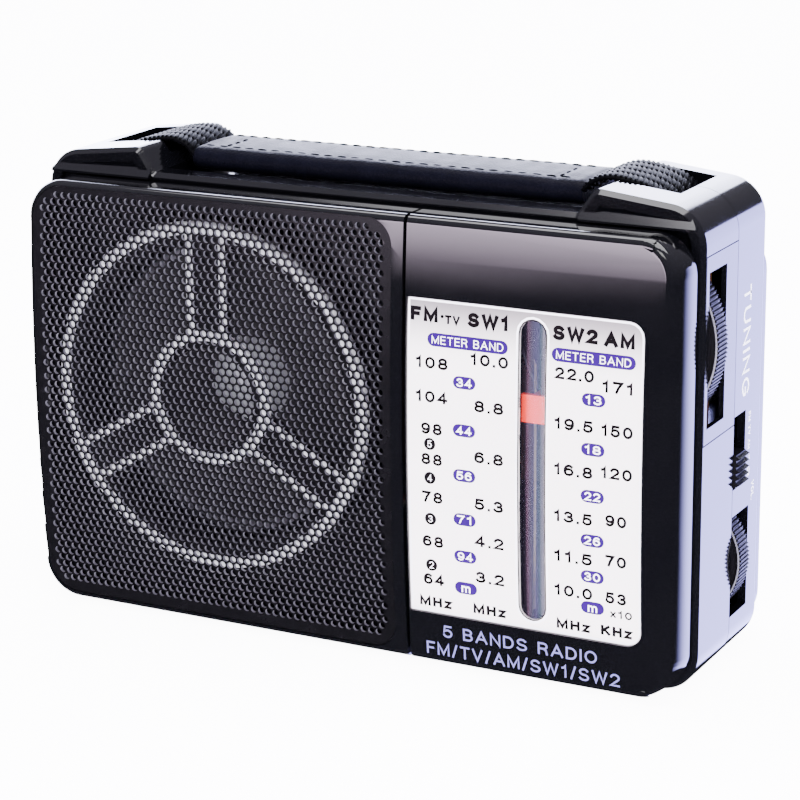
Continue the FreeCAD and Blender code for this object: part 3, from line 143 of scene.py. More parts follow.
def mesh_object(
    name: str,
    points: Sequence[Sequence[float]],
    faces: Sequence[Sequence[int]],
    smooth: bool = True,
) -> Object:
    """Makes an object at the origin from points in millimetres.

    Args:
        name: The piece's name.
        points: Corner points in millimetres, in the CAD's frame.
        faces: Corner numbers of each face.
        smooth: Whether faces are shaded smooth.

    Returns:
        The new object, linked to the scene, with its faces turned outwards.
    """
    mesh = bpy.data.meshes.new(name)
    mesh.from_pydata([tuple(c * MM for c in p) for p in points], [], faces)
    work = bmesh.new()
    work.from_mesh(mesh)
    bmesh.ops.remove_doubles(work, verts=work.verts, dist=1e-7)
    bmesh.ops.recalc_face_normals(work, faces=work.faces)
    for face in work.faces:
        face.smooth = smooth
    work.to_mesh(mesh)
    work.free()
    return linked(name, mesh)


def bake_modifiers(obj: Object) -> None:
    """Works every modifier into the object's own mesh and takes them off."""
    graph = bpy.context.evaluated_depsgraph_get()
    mesh = bpy.data.meshes.new_from_object(
        obj.evaluated_get(graph), preserve_all_data_layers=True, depsgraph=graph
    )
    mesh.name = obj.name
    obj.modifiers.clear()
    obj.data = mesh


def mark_creases(mesh: Mesh, angle: float, weld: float = 1e-6) -> None:
    """Welds loose triangles and marks the edges that stay crisp.

    Args:
        mesh: The mesh to change.
        angle: Edges that bend more than this, in degrees, stay crisp.
        weld: Corners nearer than this, in metres, become one.
    """
    work = bmesh.new()
    work.from_mesh(mesh)
    bmesh.ops.remove_doubles(work, verts=work.verts, dist=weld)
    bmesh.ops.dissolve_degenerate(work, edges=work.edges, dist=1e-8)
    limit = math.radians(angle)
    for face in work.faces:
        face.smooth = True
    for edge in work.edges:
        edge.smooth = len(edge.link_faces) == 2 and edge.calc_face_angle() < limit
    work.to_mesh(mesh)
    work.free()


def hang_on(
    obj: Object,
    body: str,
    material: Material,
    replaced: Iterable[str] = (),
) -> Object:
    """Gives a finished piece its material and its body, and hides the CAD nodes that it stands for.

    Args:
        obj: The finished piece, at the origin.
        body: The body that it moves with.
        material: What it is made of.
        replaced: CAD nodes that it stands for.

    Returns:
        The same object.
    """
    if not obj.data.materials:
        obj.data.materials.append(material)
    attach(obj, body)
    names = tuple(replaced)
    if names:
        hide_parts(*names)
    LOG.info("%s: %d faces, rides on %s", obj.name, len(obj.data.polygons), body)
    return obj


def smooth_skin(
    node: str,
    material: Material,
    angle: float = 27.0,
    shape: Callable[[Mesh], None] | None = None,
) -> Object:
    """Stands a welded, smooth-shaded copy in for a CAD node.

    Args:
        node: The CAD node's name.
        material: What the piece is made of.
        angle: Edges that bend more than this, in degrees, stay crisp.
        shape: Last touch to the welded mesh, where the CAD's is too plain.

    Returns:
        The copy, which rides on the node's own body.
    """
    source = bpy.context.scene.objects[node]
    mesh = source.data.copy()
    mesh.materials.clear()
    mark_creases(mesh, angle)
    if shape:
        shape(mesh)
    skin = linked(f"{node}_skin", mesh)
    # large flat faces keep true mirror flatness beside their rounded edges
    weighted = skin.modifiers.new("flat faces first", "WEIGHTED_NORMAL")
    weighted.mode = "FACE_AREA"
    weighted.weight = 100
    weighted.keep_sharp = True
    bake_modifiers(skin)
    return hang_on(skin, body_of(source)[0], material, [node])


# ---------------------------------------------------------------- finishes
@dataclass(frozen=True)
class Finish:
    """A moulded, plated or painted surface with a fine grain over it.

    Attributes:
        name: What the material is and how its surface was made.
        colour: Main colour, sRGB hex.
        tint: Second colour that the mottling drifts towards, sRGB hex.
        roughness: Middle roughness.
        spread: How far the roughness drifts either way.
        metallic: Zero for plastics and paints, one for bare metal.
        ior: Index of refraction, left alone on metals.
        mottle: Size of the colour drift in millimetres.
        grain: Size of the surface grain in millimetres.
        depth: Depth of the grain in millimetres.
        stretch: How the grain is drawn out along x, y and z.
        coat: Weight of a clear top coat.
        sheen: Weight of the fibre or dust sheen.
    """

    name: str
    colour: str
    tint: str
    roughness: float
    spread: float = 0.03
    metallic: float = 0.0
    ior: float = 1.5
    mottle: float = 8.0
    grain: float = 0.5
    depth: float = 0.004
    stretch: tuple[float, float, float] = (1.0, 1.0, 1.0)
    coat: float = 0.0
    sheen: float = 0.0

    def build(self) -> Material:
        """Makes the Blender material."""
        material = bpy.data.materials.new(self.name)
        material.use_nodes = True
        tree = material.node_tree
        shader = tree.nodes["Principled BSDF"]
        shader.inputs["Metallic"].default_value = self.metallic
        if self.metallic < 0.5:
            shader.inputs["IOR"].default_value = self.ior
        shader.inputs["Coat Weight"].default_value = self.coat
        shader.inputs["Coat Roughness"].default_value = 0.08
        shader.inputs["Sheen Weight"].default_value = self.sheen
        shader.inputs["Sheen Roughness"].default_value = 0.45
        where = add_node(tree, "ShaderNodeTexCoord").outputs["Object"]
        drift = self.noise(tree, where, self.mottle, 2.0)
        mix = add_node(
            tree,
            "ShaderNodeMix",
            {"Factor": drift, "A": linear(self.colour), "B": linear(self.tint)},
            data_type="RGBA",
        )
        colour = self.colour_over(tree, where, mix.outputs["Result"])
        tree.links.new(colour, shader.inputs["Base Color"])
        rough = add_node(
            tree,
            "ShaderNodeMapRange",
            {
                "Value": drift,
                "To Min": max(self.roughness - self.spread, 0.0),
                "To Max": self.roughness + self.spread,
            },
        )
        tree.links.new(rough.outputs["Result"], shader.inputs["Roughness"])
        bump = add_node(
            tree,
            "ShaderNodeBump",
            {"Distance": self.depth * MM, "Height": self.relief(tree, where)},
        )
        tree.links.new(bump.outputs["Normal"], shader.inputs["Normal"])
        self.extras(shader)
        return material

    def noise(
        self,
        tree: NodeTree,
        where: NodeSocket,
        size: float,
        detail: float,
        stretch: tuple[float, float, float] = (1.0, 1.0, 1.0),
    ) -> NodeSocket:
        """Adds cloudy noise whose lumps are a real size.

        Args:
            tree: The material's tree.
            where: Coordinates in metres.
            size: Size of one lump in millimetres.
            detail: Finer octaves on top.
            stretch: How the lumps are drawn out along x, y and z.

        Returns:
            The noise value's socket.
        """
        shaped = add_node(
            tree,
            "ShaderNodeMapping",
            {"Vector": where, "Scale": tuple(1.0 / s for s in stretch)},
        )
        field_ = add_node(
            tree,
            "ShaderNodeTexNoise",
            {"Vector": shaped.outputs["Vector"], "Scale": 1.0 / (size * MM), "Detail": detail},
        )
        return field_.outputs["Fac"]

    def relief(self, tree: NodeTree, where: NodeSocket) -> NodeSocket:
        """Gives the height pattern of the surface."""
        return self.noise(tree, where, self.grain, 3.0, self.stretch)

    def colour_over(self, tree: NodeTree, where: NodeSocket, colour: NodeSocket) -> NodeSocket:
        """Lays a pattern over the mottled colour; plain finishes add none."""
        return colour

    def extras(self, shader: Node) -> None:
        """Adds what only one kind of finish has; plain finishes add nothing."""


@dataclass(frozen=True)
class GrainedLeathercloth(Finish):
    """Leathercloth: pressed pebble cells with smooth worn crowns.

    Attributes:
        crown: Share of a pebble over which its side rises.
        crease: Size of the softer creases in millimetres.
        crease_share: Height of the creases beside the pebbles'.
    """

    crown: float = 0.22
    crease: float = 9.0
    crease_share: float = 2.6

    def relief(self, tree: NodeTree, where: NodeSocket) -> NodeSocket:
        """Pebbles with sunken seams between them, over softer creases."""
        cells = add_node(
            tree,
            "ShaderNodeTexVoronoi",
            {"Vector": where, "Scale": 1.0 / (self.grain * MM)},
            feature="DISTANCE_TO_EDGE",
        )
        crowns = add_node(
            tree,
            "ShaderNodeMapRange",
            {"Value": cells.outputs["Distance"], "From Max": self.crown},
            interpolation_type="SMOOTHSTEP",
        )
        creases = self.noise(tree, where, self.crease, 4.0, (0.5, 1.6, 1.0))
        both = add_node(
            tree,
            "ShaderNodeMath",
            {0: creases, 1: self.crease_share, 2: crowns.outputs["Result"]},
            operation="MULTIPLY_ADD",
        )
        return both.outputs["Value"]


@dataclass(frozen=True)
class BandedWrap(Finish):
    """Printed sleeve of a dry cell: a lighter band at the cap end.

    Attributes:
        band_colour: Colour of the band, sRGB hex.
        pitch: Length of one cell in millimetres.
        start: Where the first cell begins along x.
        band: Length of the band in millimetres.
    """

    band_colour: str = "#b9783a"
    pitch: float = 61.5
    start: float = -78.4
    band: float = 15.0

    def colour_over(self, tree: NodeTree, where: NodeSocket, colour: NodeSocket) -> NodeSocket:
        """Prints the band at the positive end of each cell."""
        along = add_node(tree, "ShaderNodeSeparateXYZ", {"Vector": where}).outputs["X"]
        from_start = add_node(
            tree, "ShaderNodeMath", {0: along, 1: self.start * MM}, operation="SUBTRACT"
        )
        place = add_node(
            tree,
            "ShaderNodeMath",
            {0: from_start.outputs["Value"], 1: self.pitch * MM},
            operation="FLOORED_MODULO",
        )
        in_band = add_node(
            tree,
            "ShaderNodeMath",
            {0: place.outputs["Value"], 1: (self.pitch - self.band) * MM},
            operation="GREATER_THAN",
        )
        mix = add_node(
            tree,
            "ShaderNodeMix",
            {"Factor": in_band.outputs["Value"], "A": colour, "B": linear(self.band_colour)},
            data_type="RGBA",
        )
        return mix.outputs["Result"]


@dataclass(frozen=True)
class WoundWire(Finish):
    """Enamelled wire laid turn beside turn.

    Attributes:
        pitch: Distance between turns in millimetres.
        band: Length of one band of the wave texture at a scale of one.
    """

    pitch: float = 0.45
    band: float = 0.314

    def relief(self, tree: NodeTree, where: NodeSocket) -> NodeSocket:
        """Round ridges across the winding's axis."""
        wave = add_node(
            tree,
            "ShaderNodeTexWave",
            {"Vector": where, "Scale": self.band / (self.pitch * MM), "Distortion": 0.4},
            bands_direction="X",
        )
        return wave.outputs["Fac"]


@dataclass(frozen=True)
class ClearMoulding(Finish):
    """Clear polystyrene strip, coloured across its width with faint bands as a painted reflection and
    painted shade of the channel behind it.

    Attributes:
        clearness: How much light goes straight through.
        left: Left edge of the strip in millimetres.
        right: Right edge of the strip in millimetres.
        bands: Colour of each band of painted reflection and painted shade, by its share of the width.
    """

    clearness: float = 0.84
    left: float = 47.9
    right: float = 54.3
    bands: tuple[tuple[float, str], ...] = (
        (0.0, "#0c0a10"), (0.26, "#26212e"), (0.34, "#74566c"), (0.42, "#4a4e60"),
        (0.62, "#5c5278"), (0.80, "#4c5e6c"), (0.93, "#9288a0"), (1.0, "#16111c"),
    )

    def colour_over(self, tree: NodeTree, where: NodeSocket, colour: NodeSocket) -> NodeSocket:
        """Paints reflection and shade across the strip's width, as the channel behind it shows them.
        """
        across = add_node(tree, "ShaderNodeSeparateXYZ", {"Vector": where})
        place = add_node(
            tree,
            "ShaderNodeMapRange",
            {"Value": across.outputs["X"], "From Min": self.left * MM, "From Max": self.right * MM},
        )
        # bands of painted reflection and painted shade across the strip
        ramp = add_node(tree, "ShaderNodeValToRGB", {"Fac": place.outputs["Result"]})
        band = ramp.color_ramp
        band.elements[0].color = linear(self.bands[0][1])
        band.elements[1].color = linear(self.bands[-1][1])
        for position, shade in self.bands[1:-1]:
            band.elements.new(position).color = linear(shade)
        return ramp.outputs["Color"]

    def extras(self, shader: Node) -> None:
        """Lets light straight through, as a thin flat strip does."""
        shader.inputs["Alpha"].default_value = 1.0 - self.clearness


@dataclass(frozen=True)
class SilverLacquer(Finish):
    """Sprayed silver lacquer: aluminium flake that sparkles in a pale binder.

    Attributes:
        shade: Colour of the painted shade towards the top, where the satin plate reflects darker
            surroundings, sRGB hex.
        shade_from: Height at which the painted shade starts, in millimetres.
        shade_to: Height at which the painted shade is deepest, in millimetres.
        flake: Size of one flake, drawn coarse enough to show, in millimetres.
        sparkle: How far the flakes change the colour.
    """

    shade: str = "#6a6269"
    shade_from: float = 76.0
    shade_to: float = 92.0
    flake: float = 0.2
    sparkle: float = 0.05

    def colour_over(self, tree: NodeTree, where: NodeSocket, colour: NodeSocket) -> NodeSocket:
        """Scatters single flakes, then paints shade towards the top, for the darker reflection there.
        """
        flakes = add_node(
            tree, "ShaderNodeTexVoronoi", {"Vector": where, "Scale": 1.0 / (self.flake * MM)}
        )
        mix = add_node(
            tree,
            "ShaderNodeMix",
            {"Factor": self.sparkle, "A": colour, "B": flakes.outputs["Color"]},
            data_type="RGBA",
        )
        # painted shade: the colour darkens towards the top, standing in for the darker reflection
        # there
        height = add_node(tree, "ShaderNodeSeparateXYZ", {"Vector": where}).outputs["Z"]
        painted_darkening = add_node(
            tree,
            "ShaderNodeMapRange",
            {"Value": height, "From Min": self.shade_from * MM, "From Max": self.shade_to * MM},
            interpolation_type="SMOOTHSTEP",
        )
        with_painted_darkening = add_node(
            tree,
            "ShaderNodeMix",
            {
                "Factor": painted_darkening.outputs["Result"],
                "A": mix.outputs["Result"],
                "B": linear(self.shade),
            },
            data_type="RGBA",
        )
        return with_painted_darkening.outputs["Result"]


FINISHES: dict[str, Finish] = {
    # high-impact polystyrene from a polished mould: black with mirror reflections
    "gloss_black": Finish(
        "Polystyrene, mirror moulded", "#040406", "#060608", 0.045, 0.02,
        ior=1.59, mottle=14.0, grain=5.0, depth=0.0012,
    ),
    # the same plastic from a plainer mould: reflections a little blurred
    "shell_black": Finish(
        "Polystyrene, fine polished mould", "#040406", "#07070a", 0.1, 0.025,
        ior=1.59, mottle=14.0, grain=3.0, depth=0.002,
    ),
    # pressed-in side plate: satin, so the wheel isn't mirrored in it
    "plate_black": Finish(
        "Polystyrene, satin moulded", "#040406", "#07070a", 0.22, 0.03,
        ior=1.59, mottle=9.0, grain=0.8, depth=0.003,
    ),
    # ABS from a spark-eroded mould: a dull satin black
    "black_plastic": Finish(
        "ABS, satin moulded", "#0a090c", "#100f13", 0.34, 0.06,
        ior=1.2, grain=0.35, depth=0.01,
    ),
    # steel sheet punched and then stoved black: thin gloss paint over punched edges
    "mesh_black": Finish(
        "Steel sheet, punched and stoved black", "#030304", "#070609", 0.26, 0.05,
        ior=1.27, mottle=3.0, grain=0.6, depth=0.003,
    ),
    # the wall of each hole, coloured pale as a painted highlight of the light catching it: pale
    # crescents
    "mesh_edge": Finish(
        "Steel sheet, sheared edge", "#66646e", "#46444e", 0.42, 0.08,
        metallic=0.1, mottle=1.4, grain=0.3, depth=0.01,
    ),
    # polystyrene sprayed silver, made near-white so that it also stands as a painted highlight of the
    # rounded edges: bright even glint through the holes
    "guard_silver": Finish(
        "Polystyrene, sprayed bright silver", "#fbfaff", "#efedf6", 0.3, 0.05,
        grain=0.3, depth=0.004,
    ),
    # lacquered aluminium dial: pale satin with the sparkle of flake, with painted shade towards the
    # top
    "dial_silver": SilverLacquer(
        "Aluminium sheet, silver lacquered", "#f6edf0", "#ede3e8", 0.36, 0.05,
        metallic=0.08, mottle=20.0, grain=0.25, depth=0.003,
    ),
    # crystal polystyrene: clear, with faint grey and lilac bands along it as painted reflection and
    # shade of the channel behind
    "clear_lens": ClearMoulding(
        "Crystal polystyrene, clear moulded", "#9d93b6", "#9d93b6", 0.06, 0.02,
        ior=1.4, grain=4.0, depth=0.002,
    ),
    # pigmented polystyrene: strong orange that shows through the lens
    "pointer_orange": Finish(
        "Polystyrene, orange moulded", "#ff3014", "#ff3c20", 0.35, grain=1.0, depth=0.004,
    ),
    # zinc-plated steel: bright grey with fine rolling lines
    "steel": Finish(
        "Steel, zinc plated", "#b9bcc0", "#9fa3a9", 0.3, 0.08,
        metallic=1.0, mottle=2.5, grain=0.25, depth=0.006, stretch=(6.0, 1.0, 1.0),
    ),
    # chromium over brass tube: mirror with drawing lines along it
    "chrome": Finish(
        "Brass tube, chromium plated", "#dfe1e6", "#cfd2d9", 0.09, 0.03,
        metallic=1.0, mottle=6.0, grain=0.4, depth=0.001, stretch=(12.0, 1.0, 1.0),
    ),
    # turned brass: warm with fine turning lines
    "brass_plate": Finish(
        "Brass, turned", "#c9a24e", "#b18a3c", 0.25, 0.06,
        metallic=1.0, mottle=3.0, grain=0.2, depth=0.004, stretch=(4.0, 1.0, 4.0),
    ),
    # phenolic paper board: brown with paper fibre, darkened as painted shade for the inside of the
    # case
    "board_brown": Finish(
        "Phenolic paper board, pressed", "#3c2412", "#301c0c", 0.42, 0.06,
        mottle=6.0, grain=0.8, depth=0.006, stretch=(4.0, 1.0, 1.0),
    ),
    # braided nylon cord: creamy and slightly fuzzy
    "cord_cream": Finish(
        "Nylon cord, braided", "#d9cda8", "#c6b88e", 0.7, 0.05,
        mottle=2.0, grain=0.3, depth=0.03, sheen=0.3,
    ),
    # acetal fittings and a film capacitor: milky, slightly waxy
    "capacitor_cream": Finish(
        "Acetal, moulded", "#e4dcc6", "#d9cfb4", 0.38, 0.04, grain=0.6, depth=0.006,
    ),
    # drawn tin-plated cans: bright soft metal
    "can_metal": Finish(
        "Steel can, tin plated", "#e2e4ea", "#cfd2d9", 0.25, 0.06,
        metallic=0.6, mottle=3.0, grain=0.4, depth=0.004, stretch=(1.0, 5.0, 1.0),
    ),
    # sintered ferrite: dark grey, matt, slightly gritty
    "ferrite_grey": Finish(
        "Ferrite, sintered", "#34353a", "#26272b", 0.55, 0.08,
        mottle=2.0, grain=0.25, depth=0.02,
    ),
    # enamelled copper: orange glint on each turn
    "copper_winding": WoundWire(
        "Copper wire, enamelled and wound", "#a4542a", "#8c4220", 0.3, 0.06,
        metallic=0.8, mottle=1.5, depth=0.12,
    ),
    # pressed paper pulp: matt black with fibres
    "paper_black": Finish(
        "Paper pulp, pressed", "#17161a", "#1f1d22", 0.85, 0.05,
        mottle=4.0, grain=0.5, depth=0.05, stretch=(2.0, 1.0, 2.0), sheen=0.2,
    ),
    # printed film sleeve over zinc: smooth with a copper band
    "cell_wrap": BandedWrap(
        "Zinc can, printed film sleeve", "#17181c", "#1e1f24", 0.28, 0.04,
        mottle=10.0, grain=1.5, depth=0.005, coat=0.3,
    ),
    # grey ABS bead on each wheel's rim, coloured as a painted highlight: a thin grey line of light
    "rim_grey": Finish(
        "ABS, turned and polished", "#5f5d68", "#53515c", 0.2, 0.04, grain=0.5, depth=0.003,
    ),
    # spun polypropylene yarn: dark with a soft light sheen on each float
    "webbing_black": Finish(
        "Polypropylene webbing, woven", "#030305", "#08080a", 0.42, 0.08,
        ior=1.07, mottle=1.2, grain=0.22, depth=0.06, stretch=(5.0, 1.0, 1.0),
    ),
    # leathercloth with pressed pebble grain: satin with bright worn crowns
    "leather_black": GrainedLeathercloth(
        "Leathercloth, pebble pressed", "#06060c", "#0c0c16", 0.42, 0.06,
        ior=1.11, mottle=5.0, grain=0.95, depth=0.035,
    ),
}


class Ink(Enum):
    """Printing inks on the dial and the case."""

    BLACK = ("Screen ink, black", "#080508", "#0c080c")
    VIOLET = ("Screen ink, violet", "#20064a", "#260852")
    WHITE = ("Screen ink, white", "#f4f0fa", "#e9e4f2")
    LILAC = ("Screen ink, lilac", "#5a5888", "#52507e")
    PALE = ("Screen ink, pale lilac", "#e2e0f4", "#dad8ee")

    def finish(self) -> Finish:
        """The ink as a thin satin film with a trace of screen texture."""
        name, colour, tint = self.value
        return Finish(name, colour, tint, 0.55, 0.04, ior=1.1, mottle=2.0, grain=0.2, depth=0.004)


class Paintbox:
    """Builds each material once and hands it out by name."""

    def __init__(self) -> None:
        """Starts with every finish unbuilt."""
        self._made: dict[str, Material] = {}

    def take(self, slot: str) -> Material:
        """Gives the material of a record slot."""
        if slot not in self._made:
            self._made[slot] = FINISHES[slot].build()
        return self._made[slot]

    def ink(self, ink: Ink) -> Material:
        """Gives the material of an ink."""
        if ink.name not in self._made:
            self._made[ink.name] = ink.finish().build()
        return self._made[ink.name]


# ---------------------------------------------------------------- repeated shapes
@dataclass(frozen=True)
class Spot:
    """Where one repeated shape sits: its place and its two directions.

    Attributes:
        place: Centre in millimetres.
        along: Direction of the shape's length.
        out: Direction of the shape's height, away from what it sits on.
    """

    place: Vector
    along: Vector
    out: Vector


class Repeater:
    """Sets one small shape down on many spots with a Geometry Nodes tree."""

    def __init__(self, name: str, length: float, width: float, height: float) -> None:
        """Takes the piece's name and the shape's sizes in millimetres."""
        self.name = name
        self.sizes = {"Length": length, "Width": width, "Height": height}

    def tree(self) -> NodeTree:
        """Builds the tree that turns spots into shapes.

        Returns:
            A tree with the shape's three sizes and its material as named inputs.
        """
        sizes = dict.fromkeys(self.sizes, "Float")
        tree, given = open_tree(f"{self.name} laid out", {**sizes, "Finish": "Material"})
        shape = add_node(
            tree,
            "GeometryNodeMeshUVSphere",
            {"Segments": 8, "Rings": 5, "Radius": 0.5},
        )
        along, out = (
            add_node(
                tree, "GeometryNodeInputNamedAttribute", {"Name": name}, data_type="FLOAT_VECTOR"
            ).outputs["Attribute"]
            for name in ("along", "out")
        )
        turn = add_node(
            tree,
            "FunctionNodeAxesToRotation",
            {"Primary Axis": out, "Secondary Axis": along},
            primary_axis="Z",
            secondary_axis="X",
        )
        size = add_node(
            tree,
            "ShaderNodeCombineXYZ",
            {"X": given["Length"], "Y": given["Width"], "Z": given["Height"]},
        )
        laid = add_node(
            tree,
            "GeometryNodeInstanceOnPoints",
            {
                "Points": given["Geometry"],
                "Instance": shape.outputs["Mesh"],
                "Rotation": turn.outputs["Rotation"],
                "Scale": size.outputs["Vector"],
            },
        )
        real = add_node(
            tree, "GeometryNodeRealizeInstances", {"Geometry": laid.outputs["Instances"]}
        )
        painted = add_node(
            tree,
            "GeometryNodeSetMaterial",
            {"Geometry": real.outputs["Geometry"], "Material": given["Finish"]},
        )
        add_node(tree, "NodeGroupOutput", {"Geometry": painted.outputs["Geometry"]})
        return tree

    def lay(self, spots: Sequence[Spot], material: Material) -> Object:
        """Lays the shape on every spot and settles it into one mesh.

        Args:
            spots: Places and directions, in millimetres.
            material: What the shapes are made of.

        Returns:
            One plain mesh object at the origin.
        """
        mesh = bpy.data.meshes.new(self.name)
        mesh.from_pydata([tuple(s.place * MM) for s in spots], [], [])
        for name in ("along", "out"):
            layer = mesh.attributes.new(name, "FLOAT_VECTOR", "POINT")
            flat = [c for s in spots for c in getattr(s, name)]
            layer.data.foreach_set("vector", flat)
        obj = linked(self.name, mesh)
        values = {name: size * MM for name, size in self.sizes.items()}
        run_tree(obj, self.tree(), {**values, "Finish": material})
        for polygon in obj.data.polygons:
            polygon.use_smooth = True
        return obj


def open_tree(name: str, inputs: dict[str, str]) -> tuple[NodeTree, Mapping[str, NodeSocket]]:
    """Starts a Geometry Nodes tree with geometry in and out.

    Args:
        name: The tree's name.
        inputs: Kind of each further named input.

    Returns:
        The tree and its input sockets by name.
    """
    tree = bpy.data.node_groups.new(name, "GeometryNodeTree")
    for label, kind in {"Geometry": "Geometry", **inputs}.items():
        tree.interface.new_socket(label, in_out="INPUT", socket_type=f"NodeSocket{kind}")
    tree.interface.new_socket("Geometry", in_out="OUTPUT", socket_type="NodeSocketGeometry")
    return tree, add_node(tree, "NodeGroupInput").outputs


def run_tree(obj: Object, tree: NodeTree, values: dict[str, object]) -> None:
    """Runs a Geometry Nodes tree on an object and keeps the plain mesh.

    Args:
        obj: The object that the tree works on.
        tree: The tree.
        values: Value of each named input.
    """
    modifier = obj.modifiers.new("layout", "NODES")
    modifier.node_group = tree
    for item in tree.interface.items_tree:
        if item.item_type == "SOCKET" and item.in_out == "INPUT" and item.name in values:
            modifier[item.identifier] = values[item.name]
    bake_modifiers(obj)


# ---------------------------------------------------------------- the face of the set
@dataclass(frozen=True)
class CoverFace:
    """The slightly barrelled front that both covers share.

    Attributes:
        edge: Where the face is at its top and bottom edges, along y.
        swell: How much further forward it comes at mid-height.
        middle: Height of the middle.
        half: Half the cover's height.
    """

    edge: float = -31.8
    swell: float = 2.17
    middle: float = 55.5
    half: float = 54.1

    def at(self, height: float) -> float:
        """Gives the face's y, in millimetres, at a height."""
        radius = (self.half**2 + self.swell**2) / (2.0 * self.swell)
        drop = radius - math.sqrt(radius**2 - (height - self.middle) ** 2)
        return self.edge - self.swell + drop


FACE = CoverFace()


BEND_STEP = 20.0  # degrees between the corners of a letter's round stroke


def bend(
    x: float, y: float, wide: float, high: float, start: float, end: float
) -> list[tuple[float, float]]:
    """Gives points on part of an ellipse, for a letter's round stroke.

    Args:
        x: Middle across.
        y: Middle up.
        wide: Half the width.
        high: Half the height.
        start: First angle in degrees.
        end: Last angle in degrees.

    Returns:
        Points in order, about one for each BEND_STEP.
    """
    count = max(2, round(abs(end - start) / BEND_STEP))
    turns = [heading(start + (end - start) * k / count) for k in range(count + 1)]
    return [(x + wide * c, y + high * t) for c, t in turns]


# Middle lines of an extended sans-serif alphabet: width, then strokes, with capitals one high.
LETTERS: dict[str, tuple[float, list[list[tuple[float, float]]]]] = {
    "0": (0.62, [bend(0.31, 0.5, 0.31, 0.5, 0, 360)]),
    "1": (0.36, [[(0.02, 0.79), (0.16, 0.83), (0.26, 1.0), (0.26, 0.0)]]),
    "2": (0.6, [bend(0.3, 0.71, 0.29, 0.29, 165, -35) + [(0.0, 0.0), (0.6, 0.0)]]),
    "3": (0.6, [bend(0.29, 0.75, 0.25, 0.25, 160, -90) + bend(0.29, 0.26, 0.3, 0.26, 90, -160)]),
    "4": (0.62, [[(0.44, 0.0), (0.44, 1.0), (0.0, 0.27), (0.62, 0.27)]]),
    "5": (0.6, [[(0.54, 1.0), (0.1, 1.0), (0.04, 0.5)] + bend(0.29, 0.32, 0.3, 0.32, 140, -155)]),
    "6": (0.6, [bend(0.3, 0.31, 0.3, 0.31, 0, 360), bend(0.33, 0.5, 0.33, 0.5, 50, 200)]),
    "7": (0.58, [[(0.0, 1.0), (0.58, 1.0), (0.34, 0.5), (0.2, 0.0)]]),
    "8": (0.6, [bend(0.3, 0.755, 0.26, 0.245, 0, 360), bend(0.3, 0.26, 0.3, 0.26, 0, 360)]),
    "9": (0.6, [bend(0.3, 0.69, 0.3, 0.31, 0, 360), bend(0.27, 0.5, 0.33, 0.5, 20, -130)]),
    "A": (0.76, [[(0.0, 0.0), (0.38, 1.0), (0.76, 0.0)], [(0.14, 0.32), (0.62, 0.32)]]),
    "B": (
        0.6,
        [
            [(0.0, 0.52), (0.0, 1.0), (0.32, 1.0)] + bend(0.32, 0.76, 0.24, 0.24, 90, -90),
            [(0.32, 0.52), (0.0, 0.52), (0.0, 0.0), (0.34, 0.0)]
            + bend(0.34, 0.26, 0.26, 0.26, -90, 90),
        ],
    ),
    "D": (0.66, [[(0.28, 0.0), (0.0, 0.0), (0.0, 1.0)] + bend(0.28, 0.5, 0.38, 0.5, 90, -90)]),
    "E": (0.54, [[(0.54, 1.0), (0.0, 1.0), (0.0, 0.0), (0.54, 0.0)], [(0.0, 0.52), (0.48, 0.52)]]),
    "F": (0.52, [[(0.52, 1.0), (0.0, 1.0), (0.0, 0.0)], [(0.0, 0.5), (0.44, 0.5)]]),
    "G": (0.72, [bend(0.36, 0.5, 0.36, 0.5, 38, 318) + [(0.7, 0.2), (0.7, 0.46), (0.4, 0.46)]]),
    "H": (0.62, [[(0.0, 0.0), (0.0, 1.0)], [(0.62, 0.0), (0.62, 1.0)], [(0.0, 0.52), (0.62, 0.52)]]),
    "I": (0.02, [[(0.01, 0.0), (0.01, 1.0)]]),
    "K": (0.62, [[(0.0, 0.0), (0.0, 1.0)], [(0.58, 1.0), (0.0, 0.38)], [(0.2, 0.58), (0.62, 0.0)]]),
    "L": (0.48, [[(0.0, 1.0), (0.0, 0.0), (0.48, 0.0)]]),
    "M": (0.8, [[(0.0, 0.0), (0.0, 1.0), (0.4, 0.08), (0.8, 1.0), (0.8, 0.0)]]),
    "N": (0.64, [[(0.0, 0.0), (0.0, 1.0), (0.64, 0.0), (0.64, 1.0)]]),
    "O": (0.76, [bend(0.38, 0.5, 0.38, 0.5, 0, 360)]),
    "R": (
        0.62,
        [
            [(0.0, 0.0), (0.0, 1.0), (0.34, 1.0)]
            + bend(0.34, 0.745, 0.255, 0.255, 90, -90)
            + [(0.0, 0.49)],
            [(0.34, 0.49), (0.52, 0.38), (0.6, 0.0)],
        ],
    ),
    "S": (0.64, [bend(0.32, 0.745, 0.29, 0.255, 25, 270) + bend(0.32, 0.245, 0.32, 0.245, 90, -160)]),
    "T": (0.62, [[(0.0, 1.0), (0.62, 1.0)], [(0.31, 1.0), (0.31, 0.0)]]),
    "U": (0.62, [[(0.0, 1.0)] + bend(0.31, 0.3, 0.31, 0.3, 180, 360) + [(0.62, 1.0)]]),
    "V": (0.68, [[(0.0, 1.0), (0.34, 0.0), (0.68, 1.0)]]),
    "W": (1.04, [[(0.0, 1.0), (0.25, 0.0), (0.52, 0.95), (0.79, 0.0), (1.04, 1.0)]]),
    "m": (
        0.76,
        [
            [(0.0, 0.0), (0.0, 0.72)],
            bend(0.19, 0.46, 0.19, 0.24, 180, 0) + [(0.38, 0.0)],
            bend(0.57, 0.46, 0.19, 0.24, 180, 0) + [(0.76, 0.0)],
        ],
    ),
    "x": (0.46, [[(0.0, 0.72), (0.46, 0.0)], [(0.0, 0.0), (0.46, 0.72)]]),
    "z": (0.46, [[(0.0, 0.72), (0.46, 0.72), (0.0, 0.0), (0.46, 0.0)]]),
    "/": (0.3, [[(0.0, -0.05), (0.3, 1.05)]]),
    ".": (0.02, [[(0.01, -0.01), (0.01, 0.02)]]),
    " ": (0.25, []),
}


